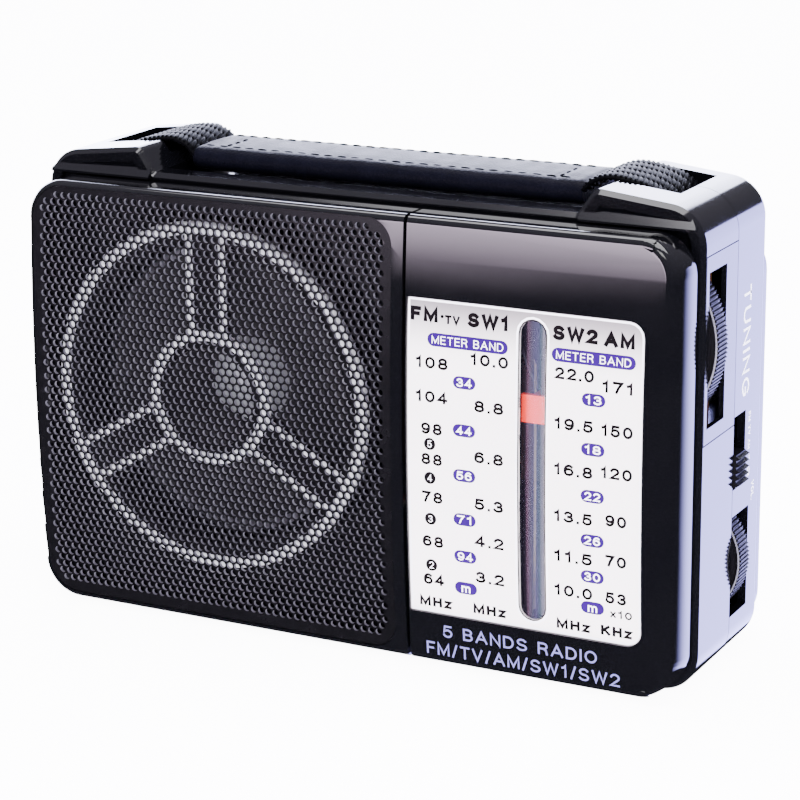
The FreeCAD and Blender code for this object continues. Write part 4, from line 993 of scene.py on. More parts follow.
@dataclass(frozen=True)
class Label:
    """One printed word or number, by its middle and its printed size.

    Attributes:
        text: What it says.
        x: Middle across.
        z: Middle up.
        width: Printed width.
        height: Height of a capital.
        stroke: Width of a stroke.
    """

    text: str
    x: float
    z: float
    width: float
    height: float
    stroke: float = 0.64

    def strokes(self) -> list[list[Vector]]:
        """Sets the word as middle lines, in millimetres round its own middle.

        Returns:
            One list of points for each stroke.
        """
        gap = 0.2 + self.stroke / self.height
        total = sum(LETTERS[c][0] for c in self.text) + gap * (len(self.text) - 1)
        wide = (self.width - self.stroke) / max(total, 1e-3)
        high = self.height - self.stroke
        lines: list[list[Vector]] = []
        pen = 0.0
        for letter in self.text:
            width, shapes = LETTERS[letter]
            for shape in shapes:
                lines.append(
                    [
                        Vector(((pen + x) * wide - total * wide / 2.0, (y - 0.5) * high))
                        for x, y in shape
                    ]
                )
            pen += width + gap
        return lines


class Printer:
    """Prints labels and patches as thin films that follow a surface."""

    sharpest: float = 0.45  # least cosine that a mitred corner is stretched for
    cap: float = 0.9  # reach of a stroke's end past its last point, as a share of half its width

    def __init__(self, film: float = 0.03, sink: float = 0.02) -> None:
        """Takes how far the film stands proud and how far it reaches in."""
        self.film = film
        self.sink = sink
        self.points: list[tuple[float, float, float]] = []
        self.faces: list[list[int]] = []

    def word(self, label: Label, place: Placer) -> None:
        """Adds a word.

        Args:
            label: The word.
            place: Maps across, up and out, in millimetres, to the CAD's frame.
        """
        middle = Vector((label.x, label.z))
        for stroke in label.strokes():
            self.line([middle + spot for spot in stroke], label.stroke, place)

    def line(self, points: Sequence[Vector], width: float, place: Placer) -> None:
        """Adds a line of even width, closed where its ends meet.

        Args:
            points: Middle line, across and up, in millimetres.
            width: Width of the line.
            place: Maps across, up and out, in millimetres, to the CAD's frame.
        """
        half = width / 2.0
        closed = len(points) > 4 and (points[0] - points[-1]).length < 1e-4
        path = points[:-1] if closed else points
        count, start = len(path), len(self.points)
        ends = ((1.0, self.film), (1.0, -self.sink), (-1.0, -self.sink), (-1.0, self.film))
        for k, spot in enumerate(path):
            before = path[k - 1] if (closed or k) else spot
            after = path[(k + 1) % count] if (closed or k < count - 1) else spot
            ways = [w.normalized() for w in (spot - before, after - spot) if w.length > 1e-6]
            way = sum(ways, Vector((0.0, 0.0))).normalized()
            reach = half / max(way.dot(ways[0]), self.sharpest)
            tip = way * (0.0 if closed or 0 < k < count - 1 else half * self.cap)
            tip = -tip if k == 0 else tip
            side = Vector((-way.y, way.x)) * reach
            for sign, out in ends:
                corner = spot + tip + side * sign
                self.points.append(tuple(place(corner.x, corner.y, out)))
        for k in range(count if closed else count - 1):
            a, b = start + 4 * k, start + 4 * ((k + 1) % count)
            self.faces += [[a + i, b + i, b + (i + 1) % 4, a + (i + 1) % 4] for i in range(4)]
        if not closed:
            last = start + 4 * (count - 1)
            self.faces += [[start + i for i in range(4)], [last + 3 - i for i in range(4)]]

    def patch(
        self,
        x: float,
        z: float,
        width: float,
        height: float,
        place: Placer,
        steps: int = 8,
    ) -> None:
        """Adds a patch with fully rounded ends.

        Args:
            x: Middle across.
            z: Middle up.
            width: Width.
            height: Height.
            place: Maps across, up and out to the CAD's frame.
            steps: Corners in each rounded end.
        """
        radius = min(width, height) / 2.0
        ring: list[tuple[float, float]] = []
        for side, first in ((1.0, -90.0), (-1.0, 90.0)):
            for k in range(steps + 1):
                c, t = heading(first + 180.0 * k / steps)
                ring.append((x + side * (width / 2.0 - radius) + radius * c, z + radius * t))
        start, count = len(self.points), len(ring)
        for out in (self.film, -self.sink):
            self.points += [tuple(place(a, u, out)) for a, u in ring]
        self.faces.append([start + k for k in range(count)])
        self.faces.append([start + count + k for k in reversed(range(count))])
        for k in range(count):
            after = (k + 1) % count
            self.faces.append([start + k, start + count + k, start + count + after, start + after])

    def finish(self, name: str, body: str, slot: str, material: Material) -> None:
        """Turns everything printed so far into one piece.

        Args:
            name: The piece's name.
            body: The body that it rides on.
            slot: The record's slot of what it is printed on; not used.
            material: The ink.
        """
        obj = mesh_object(name, self.points, self.faces, smooth=False)
        hang_on(obj, body, material)


# ---------------------------------------------------------------- sub-assemblies
@dataclass
class Case:
    """Moulded case halves, covers, side plate, door and the tuning lettering."""

    paint: Paintbox
    shells: tuple[tuple[str, str], ...] = (
        ("front_shell", "shell_black"),
        ("rear_shell", "shell_black"),
        ("speaker_cover", "gloss_black"),
        ("dial_cover", "gloss_black"),
        ("side_plate", "plate_black"),
        ("trim_lip", "gloss_black"),
        ("cell_door", "shell_black"),
    )
    wall_x: float = 87.5
    cover_back: float = -22.9
    end_from: float = 80.0
    end_draw: float = 1.5
    end_depth: float = 9.0
    end_cuts: int = 7
    end_step: float = 1.2
    word_y: float = 6.9
    word_z: float = 78.5
    word_length: float = 26.5
    word_height: float = 4.6
    volume_y: float = 13.4
    volume_z: float = 40.3
    marks_y: float = 10.2
    marks_z: float = 59.4
    marks_pitch: float = 3.4

    def build(self) -> None:
        """Builds the skins and the side lettering."""
        for node, finish in self.shells:
            shape = self.crown_end if node == "dial_cover" else None
            smooth_skin(node, self.paint.take(finish), shape=shape)
        self.print_side()

    def crown_end(self, mesh: Mesh) -> None:
        """Draws the dial cover's free end in towards the front, as the mould does.

        Args:
            mesh: The cover's mesh, in metres.
        """
        work = bmesh.new()
        work.from_mesh(mesh)
        for step in range(1, self.end_cuts + 1):
            bmesh.ops.bisect_plane(
                work,
                geom=[*work.verts, *work.edges, *work.faces],
                plane_co=(0.0, (self.cover_back - step * self.end_step) * MM, 0.0),
                plane_no=(0.0, 1.0, 0.0),
                dist=1e-7,
            )
        for corner in work.verts:
            depth = self.cover_back - corner.co.y / MM
            if corner.co.x > self.end_from * MM and depth > 0.0:
                corner.co.x -= self.end_draw * (depth / self.end_depth) ** 2 * MM
        work.to_mesh(mesh)
        work.free()

    def on_wall(self, along: float, up: float, out: float) -> tuple[float, float, float]:
        """Maps lettering that reads downwards to the right-hand wall."""
        return (self.wall_x + out, up, -along)

    def print_side(self) -> None:
        """Prints the control's name and the switch and volume marks."""
        pale = Printer(0.02, 0.02)
        pale.word(
            Label("TUNING", -self.word_z, self.word_y, self.word_length, self.word_height, 0.66),
            self.on_wall,
        )
        pale.word(Label("VOL.", -self.volume_z, self.volume_y, 4.8, 1.7, 0.3), self.on_wall)
        for k, name in enumerate(("FM", "TV", "AM", "1", "2")):
            across = -(self.marks_z - self.marks_pitch * k)
            pale.word(Label(name, across, self.marks_y, 2.4, 1.5, 0.28), self.on_wall)
        pale.finish("side_lettering", "case", "gloss_black", self.paint.ink(Ink.PALE))


@dataclass
class LoudspeakerFront:
    """Punched grille sheet with the silver guard behind it."""

    paint: Paintbox
    pitch: float = 2.05
    hole: float = 1.64
    margin: float = 1.9
    corner: float = 6.5
    punch_back: float = 0.7
    punch_stroke: float = 4.0
    guard_x: float = -37.1
    guard_z: float = 58.8
    ring: float = 42.0
    ring_bead: float = 1.7
    hub: float = 15.5
    hub_bead: float = 1.45
    spoke: float = 11.5
    spoke_bead: float = 1.15
    spoke_angles: tuple[float, ...] = (90.0, 210.0, 330.0)
    bead_front: float = -30.3

    def build(self) -> None:
        """Builds the grille and the guard."""
        self.punch_grille()
        self.lay_guard()

    def holes(self) -> list[tuple[float, float]]:
        """Gives the staggered hole centres that fit inside the sheet's outline.

        Returns:
            Centres across and up, in millimetres.
        """
        low, high = (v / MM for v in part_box("speaker_grille"))
        left, right = low.x + self.margin, high.x - self.margin
        bottom, top = low.z + self.margin, high.z - self.margin
        corner = self.corner - self.margin / 2.0
        rise = self.pitch * math.sqrt(3.0) / 2.0
        found = []
        for row in range(int((top - bottom) / rise) + 1):
            z = bottom + row * rise
            x = left + (row % 2) * self.pitch / 2.0
            while x <= right:
                over = Vector(
                    (
                        max(left + corner - x, x - right + corner, 0.0),
                        max(bottom + corner - z, z - top + corner, 0.0),
                    )
                )
                if over.length <= corner:
                    found.append((x, z))
                x += self.pitch
        return found

    def punch_tree(self) -> NodeTree:
        """Builds the tree that punches round holes through the sheet.

        Returns:
            A tree with the hole centres, the punch's radius and stroke and both finishes as inputs.
        """
        inputs = {
            "Centres": "Object",
            "Punch radius": "Float",
            "Stroke": "Float",
            "Finish": "Material",
            "Sheared edge": "Material",
        }
        tree, given = open_tree("grille punch", inputs)
        centres = add_node(tree, "GeometryNodeObjectInfo", {"Object": given["Centres"]})
        punch = add_node(
            tree,
            "GeometryNodeMeshCylinder",
            {"Vertices": 12, "Radius": given["Punch radius"], "Depth": given["Stroke"]},
        )
        rows = add_node(
            tree,
            "GeometryNodeInstanceOnPoints",
            {
                "Points": centres.outputs["Geometry"],
                "Instance": punch.outputs["Mesh"],
                "Rotation": (math.radians(90.0), 0.0, 0.0),
            },
        )
        punches = add_node(
            tree, "GeometryNodeRealizeInstances", {"Geometry": rows.outputs["Instances"]}
        )
        cut = add_node(
            tree,
            "GeometryNodeMeshBoolean",
            {"Mesh 1": given["Geometry"], "Mesh 2": punches.outputs["Geometry"]},
            operation="DIFFERENCE",
            solver="MANIFOLD",
        )
        painted = add_node(
            tree,
            "GeometryNodeSetMaterial",
            {"Geometry": cut.outputs["Mesh"], "Material": given["Finish"]},
        )
        # the upright walls of the holes take the pale material: a painted highlight of the light
        # catching them
        lean = add_node(
            tree,
            "ShaderNodeSeparateXYZ",
            {"Vector": add_node(tree, "GeometryNodeInputNormal").outputs["Normal"]},
        )
        depth = add_node(tree, "ShaderNodeMath", {0: lean.outputs["Y"]}, operation="ABSOLUTE")
        wall = add_node(
            tree,
            "FunctionNodeCompare",
            {"A": depth.outputs["Value"], "B": 0.5},
            data_type="FLOAT",
            operation="LESS_THAN",
        )
        edged = add_node(
            tree,
            "GeometryNodeSetMaterial",
            {
                "Geometry": painted.outputs["Geometry"],
                "Selection": wall.outputs["Result"],
                "Material": given["Sheared edge"],
            },
        )
        add_node(tree, "NodeGroupOutput", {"Geometry": edged.outputs["Geometry"]})
        return tree

    def punch_grille(self) -> None:
        """Punches every hole through a welded copy of the CAD sheet."""
        centres = self.holes()
        points = bpy.data.meshes.new("hole centres")
        spots = [(x * MM, (FACE.at(z) + self.punch_back) * MM, z * MM) for x, z in centres]
        points.from_pydata(spots, [], [])
        marks = linked("hole_centres", points)
        mesh = bpy.context.scene.objects["speaker_grille"].data.copy()
        mesh.materials.clear()
        mark_creases(mesh, 30.0)
        sheet = linked("grille_punched", mesh)
        run_tree(
            sheet,
            self.punch_tree(),
            {
                "Centres": marks,
                "Punch radius": self.hole / 2.0 * MM,
                "Stroke": self.punch_stroke * MM,
                "Finish": self.paint.take("mesh_black"),
                "Sheared edge": self.paint.take("mesh_edge"),
            },
        )
        bpy.data.objects.remove(marks)
        mark_creases(sheet.data, 40.0, 1e-7)
        LOG.info("%d holes punched", len(centres))
        hang_on(sheet, "case", self.paint.take("mesh_black"), ["speaker_grille"])

    def lay_guard(self) -> None:
        """Lays near-white beads on the guard's ring, hub and spoke edges: silver trim that also stands
        as a painted highlight of those rounded edges.
        """
        for slot in bpy.context.scene.objects["speaker_guard"].material_slots:
            slot.material = self.paint.take("black_plastic")
        points: list[Vector] = []
        faces: list[list[int]] = []
        for radius, bead in ((self.ring, self.ring_bead), (self.hub, self.hub_bead)):
            middle = (self.guard_x, self.bead_front + bead, self.guard_z)
            add_tube(points, faces, circle(middle, radius, 72), bead, closed=True)
        half = self.spoke / 2.0 - self.spoke_bead
        for angle in self.spoke_angles:
            c, t = heading(angle)
            way = Vector((c, 0.0, t))
            side = Vector((-way.z, 0.0, way.x))
            for edge in (-half, half):
                start = Vector((self.guard_x, self.bead_front + self.spoke_bead + 0.2, self.guard_z))
                line = [start + side * edge + way * r for r in (self.hub - 0.5, self.ring + 0.2)]
                add_tube(points, faces, line, self.spoke_bead)
        beads = mesh_object("guard_beads", points, faces)
        hang_on(beads, "case", self.paint.take("guard_silver"))


def circle(middle: tuple[float, float, float], radius: float, count: int) -> list[Vector]:
    """Gives evenly spaced points on a circle in a plane of constant y.

    Args:
        middle: Its centre in millimetres.
        radius: Its radius.
        count: How many points.

    Returns:
        The points in order.
    """
    x, y, z = middle
    turns = [heading(360.0 * k / count) for k in range(count)]
    return [Vector((x + radius * c, y, z + radius * t)) for c, t in turns]


def add_tube(
    points: list[Vector],
    faces: list[list[int]],
    line: Sequence[Vector],
    radius: float,
    closed: bool = False,
    sides: int = 12,
) -> None:
    """Adds a round bar along a line in a plane of constant y.

    Args:
        points: Corner points so far, added to.
        faces: Faces so far, added to.
        line: Middle line in millimetres.
        radius: The bar's radius.
        closed: Whether the line joins up with its start.
        sides: Corners round the bar.
    """
    first, count = len(points), len(line)
    for k, place in enumerate(line):
        before = line[k - 1] if (closed or k) else place
        after = line[(k + 1) % count] if (closed or k < count - 1) else place
        way = (after - before).normalized()
        side = way.cross(Vector((0.0, 1.0, 0.0))).normalized()
        for s in range(sides):
            angle = math.tau * s / sides
            points.append(
                place + side * (radius * math.cos(angle)) + Vector((0, radius * math.sin(angle), 0))
            )
    rings = count if closed else count - 1
    for k in range(rings):
        for s in range(sides):
            a, b = first + k * sides, first + ((k + 1) % count) * sides
            t = (s + 1) % sides
            faces.append([a + s, b + s, b + t, a + t])
    if not closed:
        faces.append([first + s for s in range(sides)])
        faces.append([first + (count - 1) * sides + s for s in reversed(range(sides))])


@dataclass
class Dial:
    """Silver dial with its scales, the clear slot and the orange pointer."""

    paint: Paintbox
    sink: float = 0.5
    digit: float = 2.8
    pill: tuple[float, float] = (5.8, 3.0)
    plate: tuple[float, float, float, float] = (19.3, 78.35, 14.25, 90.9)
    slot: tuple[float, float, float, float] = (47.9, 54.3, 16.75, 88.4)
    fm: tuple[tuple[str, float], ...] = (
        ("108", 75.8), ("104", 67.7), ("98", 60.0), ("88", 52.6),
        ("78", 43.3), ("68", 32.3), ("64", 22.7),
    )
    channels: tuple[tuple[str, float], ...] = (("5", 56.3), ("4", 48.0), ("3", 37.9), ("2", 26.3))
    sw_low: tuple[tuple[str, float], ...] = (
        ("10.0", 77.9), ("8.8", 66.9), ("6.8", 54.7), ("5.3", 43.3), ("4.2", 34.2), ("3.2", 25.2),
    )
    metres_low: tuple[tuple[str, float], ...] = (
        ("34", 72.0), ("44", 60.6), ("56", 49.7), ("71", 38.9), ("94", 29.7), ("m", 21.8),
    )
    sw_high: tuple[tuple[str, float], ...] = (
        ("22.0", 77.2), ("19.5", 65.5), ("16.8", 54.7), ("13.5", 43.5), ("11.5", 33.8), ("10.0", 25.4),
    )
    metres_high: tuple[tuple[str, float], ...] = (
        ("13", 71.9), ("18", 60.3), ("22", 49.2), ("26", 38.6), ("30", 29.8), ("m", 22.2),
    )
    am: tuple[tuple[str, float], ...] = (
        ("171", 75.4), ("150", 65.3), ("120", 55.4), ("90", 44.1), ("70", 34.4), ("53", 25.4),
    )

    def build(self) -> None:
        """Builds the plate, its printing, the lens and the pointer."""
        smooth_skin("dial_plate", self.paint.take("dial_silver"))
        smooth_skin("dial_lens", self.paint.take("clear_lens"))
        smooth_skin("pointer", self.paint.take("pointer_orange"))
        self.print_scales()
        self.print_edges()
        self.print_cover()

    def on_plate(self, x: float, z: float, out: float) -> tuple[float, float, float]:
        """Maps printing to the sunk plate."""
        return (x, FACE.at(z) + self.sink - out, z)

    def on_cover(self, x: float, z: float, out: float) -> tuple[float, float, float]:
        """Maps printing to the cover's own face."""
        return (x, FACE.at(z) - out, z)

    def column(
        self, x: float, rows: Sequence[tuple[str, float]], widths: Sequence[float]
    ) -> list[Label]:
        """Sets one column of figures.

        Args:
            x: The column's middle.
            rows: Figures and their heights up the dial.
            widths: Width for one, two, three and four characters.

        Returns:
            One label for each row.
        """
        return [
            Label(text, x, z, widths[min(len(text), len(widths)) - 1], self.digit)
            for text, z in rows
        ]

    def print_scales(self) -> None:
        """Prints the figures, the metre patches and the band names."""
        figures = (1.4, 5.4, 8.3, 9.6)
        points = (1.4, 5.4, 7.4, 9.6)
        labels = [
            *self.column(25.6, self.fm, figures),
            *self.column(40.3, self.sw_low, points),
            *self.column(61.5, self.sw_high, points),
            *self.column(72.1, self.am, (1.4, 5.2, 7.7)),
            Label("FM", 23.6, 87.1, 7.0, 3.4, 0.95),
            Label("TV", 30.8, 86.4, 3.8, 2.1, 0.52),
            Label("SW1", 39.9, 87.0, 10.4, 3.4, 0.95),
            Label("SW2", 61.5, 86.4, 11.0, 3.4, 0.95),
            Label("AM", 72.2, 86.2, 7.4, 3.3, 0.95),
            Label("MHz", 25.9, 17.0, 8.4, 2.5, 0.7),
            Label("MHz", 40.0, 17.1, 8.4, 2.5, 0.7),
            Label("MHz", 61.4, 17.0, 8.4, 2.5, 0.7),
            Label("KHz", 72.2, 17.2, 7.7, 2.5, 0.7),
            Label("x10", 73.4, 21.6, 5.4, 1.9, 0.42),
        ]
        black = Printer()
        for label in labels:
            black.word(label, self.on_plate)
        black.patch(28.2, 87.0, 0.8, 0.8, self.on_plate)
        for _, z in self.channels:
            black.patch(25.1, z, 3.0, 3.0, self.on_plate)
        black.finish("dial_figures", "case", "dial_silver", self.paint.ink(Ink.BLACK))
        violet = Printer()
        white = Printer(0.05, 0.02)
        for x, rows in ((34.0, self.metres_low), (66.3, self.metres_high)):
            for text, z in rows:
                violet.patch(x, z, *self.pill, self.on_plate)
                size = (2.3, 2.2) if text == "m" else (3.9, 2.0)
                white.word(Label(text, x, z, *size, 0.36), self.on_plate)
        for x, z in ((34.7, 81.4), (66.05, 81.4)):
            violet.patch(x, z, 20.5, 3.2, self.on_plate)
            white.word(Label("METER BAND", x, z, 18.2, 1.9, 0.22), self.on_plate)
        for text, z in self.channels:
            white.word(Label(text, 25.1, z, 1.15, 1.7, 0.2), self.on_plate)
        violet.finish("dial_patches", "case", "dial_silver", self.paint.ink(Ink.VIOLET))
        white.finish("dial_patch_figures", "case", "dial_silver", self.paint.ink(Ink.WHITE))

    def outline(
        self,
        box: tuple[float, float, float, float],
        grow: float,
        radii: tuple[float, float],
        steps: int = 24,
    ) -> list[Vector]:
        """Gives a closed upright outline with points close enough to follow the barrel.

        Args:
            box: Left, right, lower and upper edge.
            grow: How far outside those edges the outline runs.
            radii: Corner radius on the left and on the right.
            steps: Spans on each upright side.

        Returns:
            Points across and up, the last the same as the first.
        """
        left, right, low, high = box[0] - grow, box[1] + grow, box[2] - grow, box[3] + grow
        near, far = radii
        ring = [
            *bend(right - far, high - far, far, far, 0, 90),
            *bend(left + near, high - near, near, near, 90, 180),
            *[(left, high - near - (high - low - 2 * near) * k / steps) for k in range(1, steps)],
            *bend(left + near, low + near, near, near, 180, 270),
            *bend(right - far, low + far, far, far, 270, 360),
            *[(right, low + far + (high - low - 2 * far) * k / steps) for k in range(1, steps)],
        ]
        return [Vector(p) for p in [*ring, ring[0]]]

    def print_edges(self) -> None:
        """Lays white lines round the plate and round the slot as painted highlights of their edges,
        and a black line just inside the slot as painted shade.
        """
        # white ink lines: painted highlights where the plate's edge and the slot's edge catch the
        # light
        bright = Printer(0.05, 0.02)
        bright.line(self.outline(self.plate, -0.4, (0.4, 3.4)), 0.5, self.on_plate)
        # a hair less than a half circle, so that the two corners don't meet in one point
        half = (self.slot[1] - self.slot[0]) / 2.0 - 0.01
        rim = self.outline(self.slot, 0.7, (half + 0.7, half + 0.7))
        bright.line(rim, 0.5, self.on_plate)
        bright.finish("dial_edges", "case", "dial_silver", self.paint.ink(Ink.WHITE))
        # black ink line just inside the slot: painted shade where the plate meets the lens
        dark = Printer(0.04, 0.02)
        inner = self.outline(self.slot, 0.2, (half + 0.2, half + 0.2))
        dark.line(inner, 0.3, self.on_plate)
        dark.finish("slot_line", "case", "dial_silver", self.paint.ink(Ink.BLACK))

    def print_cover(self) -> None:
        """Prints the two lines under the dial."""
        lilac = Printer()
        lilac.word(Label("5 BANDS RADIO", 47.6, 10.0, 39.7, 3.1, 0.46), self.on_cover)
        lilac.word(Label("FM/TV/AM/SW1/SW2", 48.2, 5.2, 49.8, 3.2, 0.46), self.on_cover)
        lilac.finish("cover_lettering", "case", "gloss_black", self.paint.ink(Ink.LILAC))


@dataclass
class Controls:
    """Thumbwheels with grey rim beads as painted highlights, and the band knob."""

    paint: Paintbox
    rims: tuple[tuple[str, float, float, float, float], ...] = (
        ("tuning", 64.8, -17.0, 82.5, 24.25),
        ("volume", 73.1, 1.5, 25.6, 15.75),
    )
    rim_bead: float = 0.25

    def build(self) -> None:
        """Dresses the knurled wheels and the sliding knob."""
        for node in ("tuning_wheel", "volume_wheel", "band_knob"):
            smooth_skin(node, self.paint.take("black_plastic"), 24.0)
        # a grey bead round each wheel: painted highlight of the light along its rim
        for body, x, y, z, radius in self.rims:
            points: list[Vector] = []
            faces: list[list[int]] = []
            loop = circle((x, y, z), radius, 120)
            add_tube(points, faces, loop, self.rim_bead, closed=True, sides=8)
            rim = mesh_object(f"{body}_rim", points, faces)
            hang_on(rim, body, self.paint.take("rim_grey"))


@dataclass
class Whip:
    """Telescopic whip with its knuckle and bracket."""

    paint: Paintbox
    stages: tuple[str, ...] = (
        "whip_knuckle", "whip_outer", "whip_second", "whip_third", "whip_tip", "aerial_bracket",
    )

    def build(self) -> None:
        """Smooths every chromium-plated stage."""
        for node in self.stages:
            smooth_skin(node, self.paint.take("chrome"))


@dataclass
class Handle:
    """Woven strap with a stitched leathercloth sleeve round its middle."""

    paint: Paintbox
    strap_width: float = 21.5
    strap_middle: float = 1.5
    strap_thickness: float = 1.7
    path: tuple[tuple[float, float], ...] = (
        (73.8, 103.5), (74.0, 110.0), (72.0, 113.8), (68.0, 116.0), (63.0, 117.2),
        (58.5, 117.5), (54.5, 116.2), (51.0, 113.6), (40.0, 113.2), (0.0, 113.2),
    )
    rows: int = 5
    float_pitch: float = 1.15
    float_lean: float = 0.42
    float_height: float = 0.75
    selvedge: float = 0.4
    sleeve_half: float = 52.5
    sleeve_width: float = 22.5
    sleeve_low: float = 110.0
    sleeve_high: float = 116.4
    sleeve_stations: int = 106
    seam_front: float = 4.4
    seam_rear: float = 3.4
    seam_cross: float = 45.0
    pinch_depth: float = 0.22
    pinch_width: float = 0.9
    stitch: float = 2.6
    stitch_gap: float = 1.1

    def build(self) -> None:
        """Builds the strap, its weave, the sleeve and its stitching."""
        self.build_strap()
        self.weave()
        self.build_sleeve()
        self.sew()

    def middle_line(self, steps: int = 10) -> list[Vector]:
        """Gives the strap's whole smooth middle line, left to right.

        Args:
            steps: Points on each span of the path.

        Returns:
            Points in millimetres in the plane of the strap's middle.
        """
        right = [Vector((x, 0.0, z)) for x, z in self.path]
        whole = [Vector((-p.x, 0.0, p.z)) for p in right] + right[-2::-1]
        line: list[Vector] = []
        for k in range(len(whole) - 1):
            p0 = whole[max(k - 1, 0)]
            p1, p2 = whole[k], whole[k + 1]
            p3 = whole[min(k + 2, len(whole) - 1)]
            for s in range(steps):
                t = s / steps
                line.append(
                    0.5
                    * (
                        2.0 * p1
                        + (p2 - p0) * t
                        + (2.0 * p0 - 5.0 * p1 + 4.0 * p2 - p3) * t**2
                        + (3.0 * p1 - p0 - 3.0 * p2 + p3) * t**3
                    )
                )
        line.append(whole[-1])
        return line

    def build_strap(self) -> None:
        """Builds the strap's body with soft rounded selvedges."""
        line = self.middle_line()
        half, thick = self.strap_width / 2.0, self.strap_thickness / 2.0 - 0.25
        section = [
            (-half + 0.3, thick * 0.6), (-half + 1.2, thick), (half - 1.2, thick),
            (half - 0.3, thick * 0.6), (half - 0.1, 0.0), (half - 0.3, -thick * 0.6),
            (half - 1.2, -thick), (-half + 1.2, -thick), (-half + 0.3, -thick * 0.6),
            (-half + 0.1, 0.0),
        ]
        points: list[Vector] = []
        faces: list[list[int]] = []
        count = len(section)
        for k, place in enumerate(line):
            out = self.outward(line, k)
            for across, up in section:
                points.append(place + Vector((0.0, self.strap_middle + across, 0.0)) + out * up)
            if k:
                a, b = (k - 1) * count, k * count
                for s in range(count):
                    t = (s + 1) % count
                    faces.append([a + s, b + s, b + t, a + t])
        last = (len(line) - 1) * count
        faces.append(list(range(count)))
        faces.append([last + s for s in reversed(range(count))])
        strap = mesh_object("strap_webbing", points, faces)
        hang_on(strap, "case", self.paint.take("webbing_black"), ["handle_strap"])

    def outward(self, line: Sequence[Vector], k: int) -> Vector:
        """Gives the strap's outward direction at a point of its middle line."""
        way = (line[min(k + 1, len(line) - 1)] - line[max(k - 1, 0)]).normalized()
        return Vector((-way.z, 0.0, way.x))

    def weave(self) -> None:
        """Lays the slanting yarn floats of the weave where the strap shows."""
        line = self.middle_line(24)
        spots: list[Spot] = []
        travelled = self.float_pitch
        woven = self.strap_width - 2.0 * self.selvedge
        row_width = woven / self.rows
        for k in range(1, len(line)):
            travelled += (line[k] - line[k - 1]).length
            if travelled < self.float_pitch or abs(line[k].x) < self.sleeve_half - 3.0:
                continue
            travelled = 0.0
            out = self.outward(line, k)
            way = out.cross(Vector((0.0, 1.0, 0.0))).normalized()
            for row in range(self.rows):
                across = (row + 0.5) * row_width - woven / 2.0
                lean = Vector((0.0, 1.0, 0.0)) + way * self.float_lean
                for side in (1.0, -1.0):
                    place = line[k] + Vector((0.0, self.strap_middle + across, 0.0))
                    place += out * (side * (self.strap_thickness / 2.0 - 0.3))
                    spots.append(Spot(place, lean.normalized(), out * side))
        floats = Repeater(
            "strap_floats", row_width * 1.25, self.float_pitch * 0.92, self.float_height
        )
        piece = floats.lay(spots, self.paint.take("webbing_black"))
        hang_on(piece, "case", self.paint.take("webbing_black"))

    def sleeve_section(self, steps: int = 7) -> list[tuple[float, float, float]]:
        """Gives the sleeve's rolled section and its outward directions.

        Args:
            steps: Corners in each rolled edge.

        Returns:
            Across, up and the outward angle in degrees, round the section.
        """
        half = self.sleeve_width / 2.0
        radius = (self.sleeve_high - self.sleeve_low) / 2.0 - 0.15
        section = []
        for side, first in ((1.0, -90.0), (-1.0, 90.0)):
            for k in range(steps + 1):
                angle = first + 180.0 * k / steps
                c, s = heading(angle)
                section.append((side * (half - radius) + radius * c, radius * s, angle))
            if side > 0.0:
                for share in (0.75, 0.5, 0.25, 0.0, -0.25, -0.5, -0.75):
                    section.append((share * (half - radius), radius + 0.12 * (1 - share**2), 90.0))
            else:
                for share in (-0.6, 0.0, 0.6):
                    section.append((share * (half - radius), -radius, -90.0))
        return section

    def build_sleeve(self) -> None:
        """Builds the sleeve with pinched seams and slightly wavy edges."""
        section = self.sleeve_section()
        middle = (self.sleeve_low + self.sleeve_high) / 2.0
        points: list[Vector] = []
        faces: list[list[int]] = []
        count = len(section)
        for k in range(self.sleeve_stations):
            x = self.sleeve_half * (2.0 * k / (self.sleeve_stations - 1) - 1.0)
            end = max(0.0, abs(x) - self.sleeve_half + 1.2) / 1.2
            for across, up, angle in section:
                pinch = self.pinch(x, across, up)
                wave = 0.10 * math.sin(x * 0.31 + across * 0.4) + 0.07 * math.sin(x * 0.83 + 1.3)
                shrink = pinch + 0.5 * end**2 - 0.5 * wave + 0.1
                direction = Vector((0.0, *heading(angle)))
                place = Vector((x, self.strap_middle + across, middle + up))
                points.append(place - direction * shrink)
            if k:
                a, b = (k - 1) * count, k * count
                for s in range(count):
                    t = (s + 1) % count
                    faces.append([a + s, a + t, b + t, b + s])
        last = (self.sleeve_stations - 1) * count
        faces.append(list(reversed(range(count))))
        faces.append([last + s for s in range(count)])
        sleeve = mesh_object("sleeve_leathercloth", points, faces)
        mark_creases(sleeve.data, 50.0)
        hang_on(
            sleeve, "case", self.paint.take("leather_black"), ["handle_sleeve"]
        )

    def seam_lines(self) -> tuple[float, float, float]:
        """Gives the two long seams across and the cross seam's distance from the middle."""
        half = self.sleeve_width / 2.0
        return (self.seam_front - half, half - self.seam_rear, self.seam_cross)

    def pinch(self, x: float, across: float, up: float) -> float:
        """Gives how far the seams pull the top in at a point.

        Args:
            x: Along the sleeve.
            across: Across the sleeve.
            up: Height from the sleeve's middle; only the top is sewn.

        Returns:
            Depth in millimetres.
        """
        if up < 0.5:
            return 0.0
        front, rear, cross = self.seam_lines()
        nearest = min(abs(across - front), abs(across - rear), abs(abs(x) - cross))
        return self.pinch_depth * math.exp(-((nearest / self.pinch_width) ** 2))

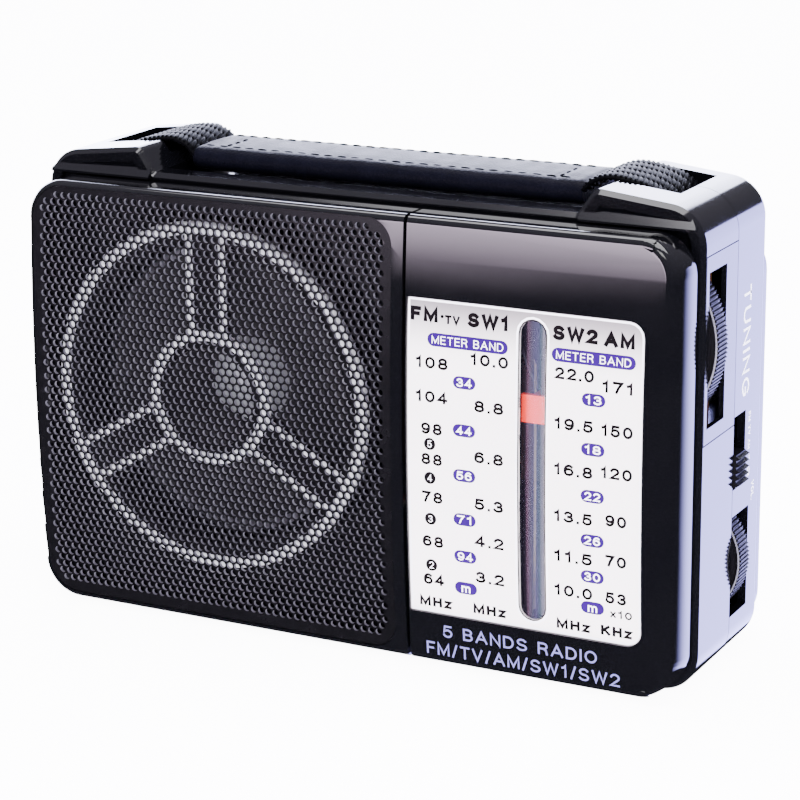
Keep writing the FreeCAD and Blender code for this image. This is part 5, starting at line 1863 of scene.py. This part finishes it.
    def sew(self) -> None:
        """Sews the two long seams and the two cross seams."""
        front, rear, cross = self.seam_lines()
        top = self.sleeve_high - 0.2
        step = self.stitch + self.stitch_gap
        up = Vector((0.0, 0.0, 1.0))
        spots: list[Spot] = []
        for across in (front, rear):
            for k in range(int(2.0 * (self.sleeve_half - 2.0) / step)):
                x = -self.sleeve_half + 3.0 + k * step
                place = Vector((x, self.strap_middle + across, top - 0.12))
                spots.append(Spot(place, Vector((1.0, 0.0, 0.0)), up))
        for x in (-cross, cross):
            for k in range(int((rear - front) / step)):
                y = self.strap_middle + front + step * (k + 0.5)
                spots.append(Spot(Vector((x, y, top - 0.06)), Vector((0.0, 1.0, 0.0)), up))
        thread = Repeater("sleeve_stitches", self.stitch, 0.62, 0.5)
        piece = thread.lay(spots, self.paint.take("webbing_black"))
        hang_on(piece, "case", self.paint.take("webbing_black"))


@dataclass
class Internals:
    """Everything that keeps its CAD shape and only gets its real finish."""

    paint: Paintbox

    def build(self, nodes: dict[str, Object]) -> None:
        """Gives every CAD node the finish of its slot.

        Args:
            nodes: CAD nodes by name.
        """
        for name, node in nodes.items():
            for slot in node.material_slots:
                slot.material = self.paint.take(slot.material.name.split(".")[0])
            LOG.info("%s finished in its own slot", name)


# ---------------------------------------------------------------- studio
@dataclass(frozen=True)
class Card:
    """A glowing card that only shows as a reflection.

    Attributes:
        name: What it is for.
        azimuth: Compass direction of its middle from the set, degrees from +x.
        elevation: Its middle above the horizon, degrees.
        wide: Width in degrees as seen from the set.
        high: Height in degrees as seen from the set.
        colour: Colour, sRGB hex.
        strength: Brightness.
        fade: Share of the height over which the lower edge fades in.
        fade_side: Share of the width over which the edge nearer the listener fades in.
    """

    name: str
    azimuth: float
    elevation: float
    wide: float
    high: float
    colour: str
    strength: float
    fade: float = 0.05
    fade_side: float = 0.02

    def place(self, middle: Vector, distance: float = 1.5) -> None:
        """Stands the card at its direction, facing the set.

        Args:
            middle: What it faces, in metres.
            distance: How far away it stands, in metres.
        """
        (east, north), (level, rise) = heading(self.azimuth), heading(self.elevation)
        way = Vector((east * level, north * level, rise))
        half_w = distance * math.tan(math.radians(self.wide / 2.0))
        half_h = distance * math.tan(math.radians(self.high / 2.0))
        mesh = bpy.data.meshes.new(self.name)
        side = way.cross(Vector((0.0, 0.0, 1.0))).normalized()
        up = side.cross(way).normalized()
        centre = middle + way * distance
        mesh.from_pydata(
            [
                centre + side * (i * half_w) + up * (j * half_h)
                for i, j in ((-1, -1), (1, -1), (1, 1), (-1, 1))
            ],
            [],
            [(0, 1, 2, 3)],
        )
        card = linked(self.name, mesh)
        layer = mesh.uv_layers.new(name="card")
        for loop, corner in zip(layer.data, ((0, 0), (1, 0), (1, 1), (0, 1)), strict=True):
            loop.uv = corner
        glow = bpy.data.materials.new(f"{self.name} glow")
        glow.use_nodes = True
        tree = glow.node_tree
        tree.nodes.clear()
        spot = add_node(tree, "ShaderNodeUVMap", uv_map="card")
        spread = add_node(tree, "ShaderNodeSeparateXYZ", {"Vector": spot.outputs["UV"]})
        fade_in = add_node(
            tree,
            "ShaderNodeMapRange",
            {"Value": spread.outputs["Y"], "From Max": self.fade, "To Max": self.strength},
            interpolation_type="SMOOTHSTEP",
        )
        fade_across = add_node(
            tree,
            "ShaderNodeMapRange",
            {"Value": spread.outputs["X"], "From Min": 1.0, "From Max": 1.0 - self.fade_side},
            interpolation_type="SMOOTHSTEP",
        )
        both = add_node(
            tree,
            "ShaderNodeMath",
            {0: fade_in.outputs["Result"], 1: fade_across.outputs["Result"]},
            operation="MULTIPLY",
        )
        light = add_node(
            tree,
            "ShaderNodeEmission",
            {"Color": linear(self.colour), "Strength": both.outputs["Value"]},
        )
        add_node(tree, "ShaderNodeOutputMaterial", {"Surface": light.outputs["Emission"]})
        mesh.materials.append(glow)
        for ray in ("camera", "diffuse", "transmission", "volume_scatter", "shadow"):
            setattr(card, f"visible_{ray}", False)


@dataclass
class Studio:
    """Pale floor, soft light, reflection cards and the camera."""

    middle: Vector = field(default_factory=lambda: Vector((0.0, -0.005, 0.06)))
    floor_half: float = 6.0
    floor_glow: float = 11.0
    camera_place: Vector = field(default_factory=lambda: Vector((0.29377, -0.56014, 0.23662)))
    camera_right: Vector = field(default_factory=lambda: Vector((0.88681, 0.46203, -0.00998)))
    camera_down: Vector = field(default_factory=lambda: Vector((0.11892, -0.24903, -0.96117)))
    lens: float = 119.66
    fill: float = 0.8
    dusk: tuple[float, float] = (0.02, 0.9)
    softbox_colour: tuple[float, float, float] = (0.97, 0.96, 1.0)
    softboxes: tuple[tuple[str, tuple[float, float, float], float, float, bool], ...] = (
        ("overhead softbox", (0.1, 0.1, 1.5), 1.6, 60.0, True),
        ("right softbox", (1.2, -1.3, 1.1), 0.8, 60.0, False),
        ("left softbox", (-1.4, -1.0, 0.9), 1.0, 10.0, False),
    )
    cards: tuple[Card, ...] = (
        Card("side card", 62.3, -14.0, 46.0, 40.0, "#b0aeff", 17.0, fade_side=0.4),
        Card("front card", 252.0, 1.5, 17.5, 16.0, "#e6d4ea", 17.0, 0.34),
        Card("top card", 122.0, 14.0, 64.0, 32.0, "#dfe2ff", 22.0),
        Card("key card", 300.0, 38.0, 16.0, 16.0, "#ffffff", 7.0, 0.3),
    )

    def build(self) -> None:
        """Sets up floor, lights, cards, world and camera."""
        self.lay_floor()
        self.hang_lights()
        for card in self.cards:
            card.place(self.middle)
        self.light_world()
        self.place_camera()

    def lay_floor(self) -> None:
        """Lays a plain pale floor that black gloss doesn't mirror."""
        h = self.floor_half
        mesh = bpy.data.meshes.new("floor")
        mesh.from_pydata([(-h, -h, 0), (h, -h, 0), (h, h, 0), (-h, h, 0)], [], [(0, 1, 2, 3)])
        floor = linked("floor", mesh)
        paper = Finish(
            "Paper roll, white", "#fbfaff", "#f6f5fc", 0.9, 0.05,
            ior=1.3, mottle=300.0, grain=2.0, depth=0.01,
        ).build()
        shader = paper.node_tree.nodes["Principled BSDF"]
        shader.inputs["Emission Color"].default_value = linear("#fdfcff")
        shader.inputs["Emission Strength"].default_value = self.floor_glow
        mesh.materials.append(paper)
        floor.visible_glossy = False

    def hang_lights(self) -> None:
        """Hangs one wide softbox overhead and one on either side."""
        for name, place, size, power, shows in self.softboxes:
            light = bpy.data.lights.new(name, "AREA")
            light.shape = "SQUARE"
            light.size = size
            light.energy = power
            light.color = self.softbox_colour
            obj = linked(name, light)
            obj.location = place
            obj.rotation_euler = (self.middle - Vector(place)).to_track_quat("-Z", "Y").to_euler()
            obj.visible_glossy = shows

    def light_world(self) -> None:
        """Fills the room with even white light that reflections see as dusk."""
        world = bpy.data.worlds.new("studio")
        bpy.context.scene.world = world
        world.use_nodes = True
        tree = world.node_tree
        tree.nodes.clear()
        rays = add_node(tree, "ShaderNodeLightPath")
        where = add_node(tree, "ShaderNodeTexCoord")
        height = add_node(tree, "ShaderNodeSeparateXYZ", {"Vector": where.outputs["Generated"]})
        dusk = add_node(
            tree,
            "ShaderNodeMapRange",
            {
                "Value": height.outputs["Z"],
                "From Min": -0.2,
                "To Min": self.dusk[0],
                "To Max": self.dusk[1],
            },
        )
        fill = add_node(
            tree, "ShaderNodeBackground", {"Color": linear("#f2f1ff"), "Strength": self.fill}
        )
        dark = add_node(
            tree,
            "ShaderNodeBackground",
            {"Color": linear("#d6d2e6"), "Strength": dusk.outputs["Result"]},
        )
        mix = add_node(
            tree,
            "ShaderNodeMixShader",
            {
                0: rays.outputs["Is Glossy Ray"],
                1: fill.outputs["Background"],
                2: dark.outputs["Background"],
            },
        )
        add_node(tree, "ShaderNodeOutputWorld", {"Surface": mix.outputs["Shader"]})

    def place_camera(self) -> None:
        """Stands the camera to the listener's right, a little above the set."""
        data = bpy.data.cameras.new("camera")
        data.lens = self.lens
        data.sensor_width = 36.0
        camera = linked("camera", data)
        back = self.camera_right.cross(-self.camera_down)
        turn = Matrix((self.camera_right, -self.camera_down, back)).transposed()
        camera.matrix_world = Matrix.Translation(self.camera_place) @ turn.to_4x4()
        bpy.context.scene.camera = camera


def main() -> None:
    """Builds the receiver over its CAD frame."""
    logging.basicConfig(level=logging.INFO, format="%(name)s: %(message)s")
    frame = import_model()
    Studio().build()
    paint = Paintbox()
    Internals(paint).build(frame["nodes"])
    Case(paint).build()
    LoudspeakerFront(paint).build()
    Dial(paint).build()
    Controls(paint).build()
    Whip(paint).build()
    Handle(paint).build()


if __name__ == "__main__":
    main()
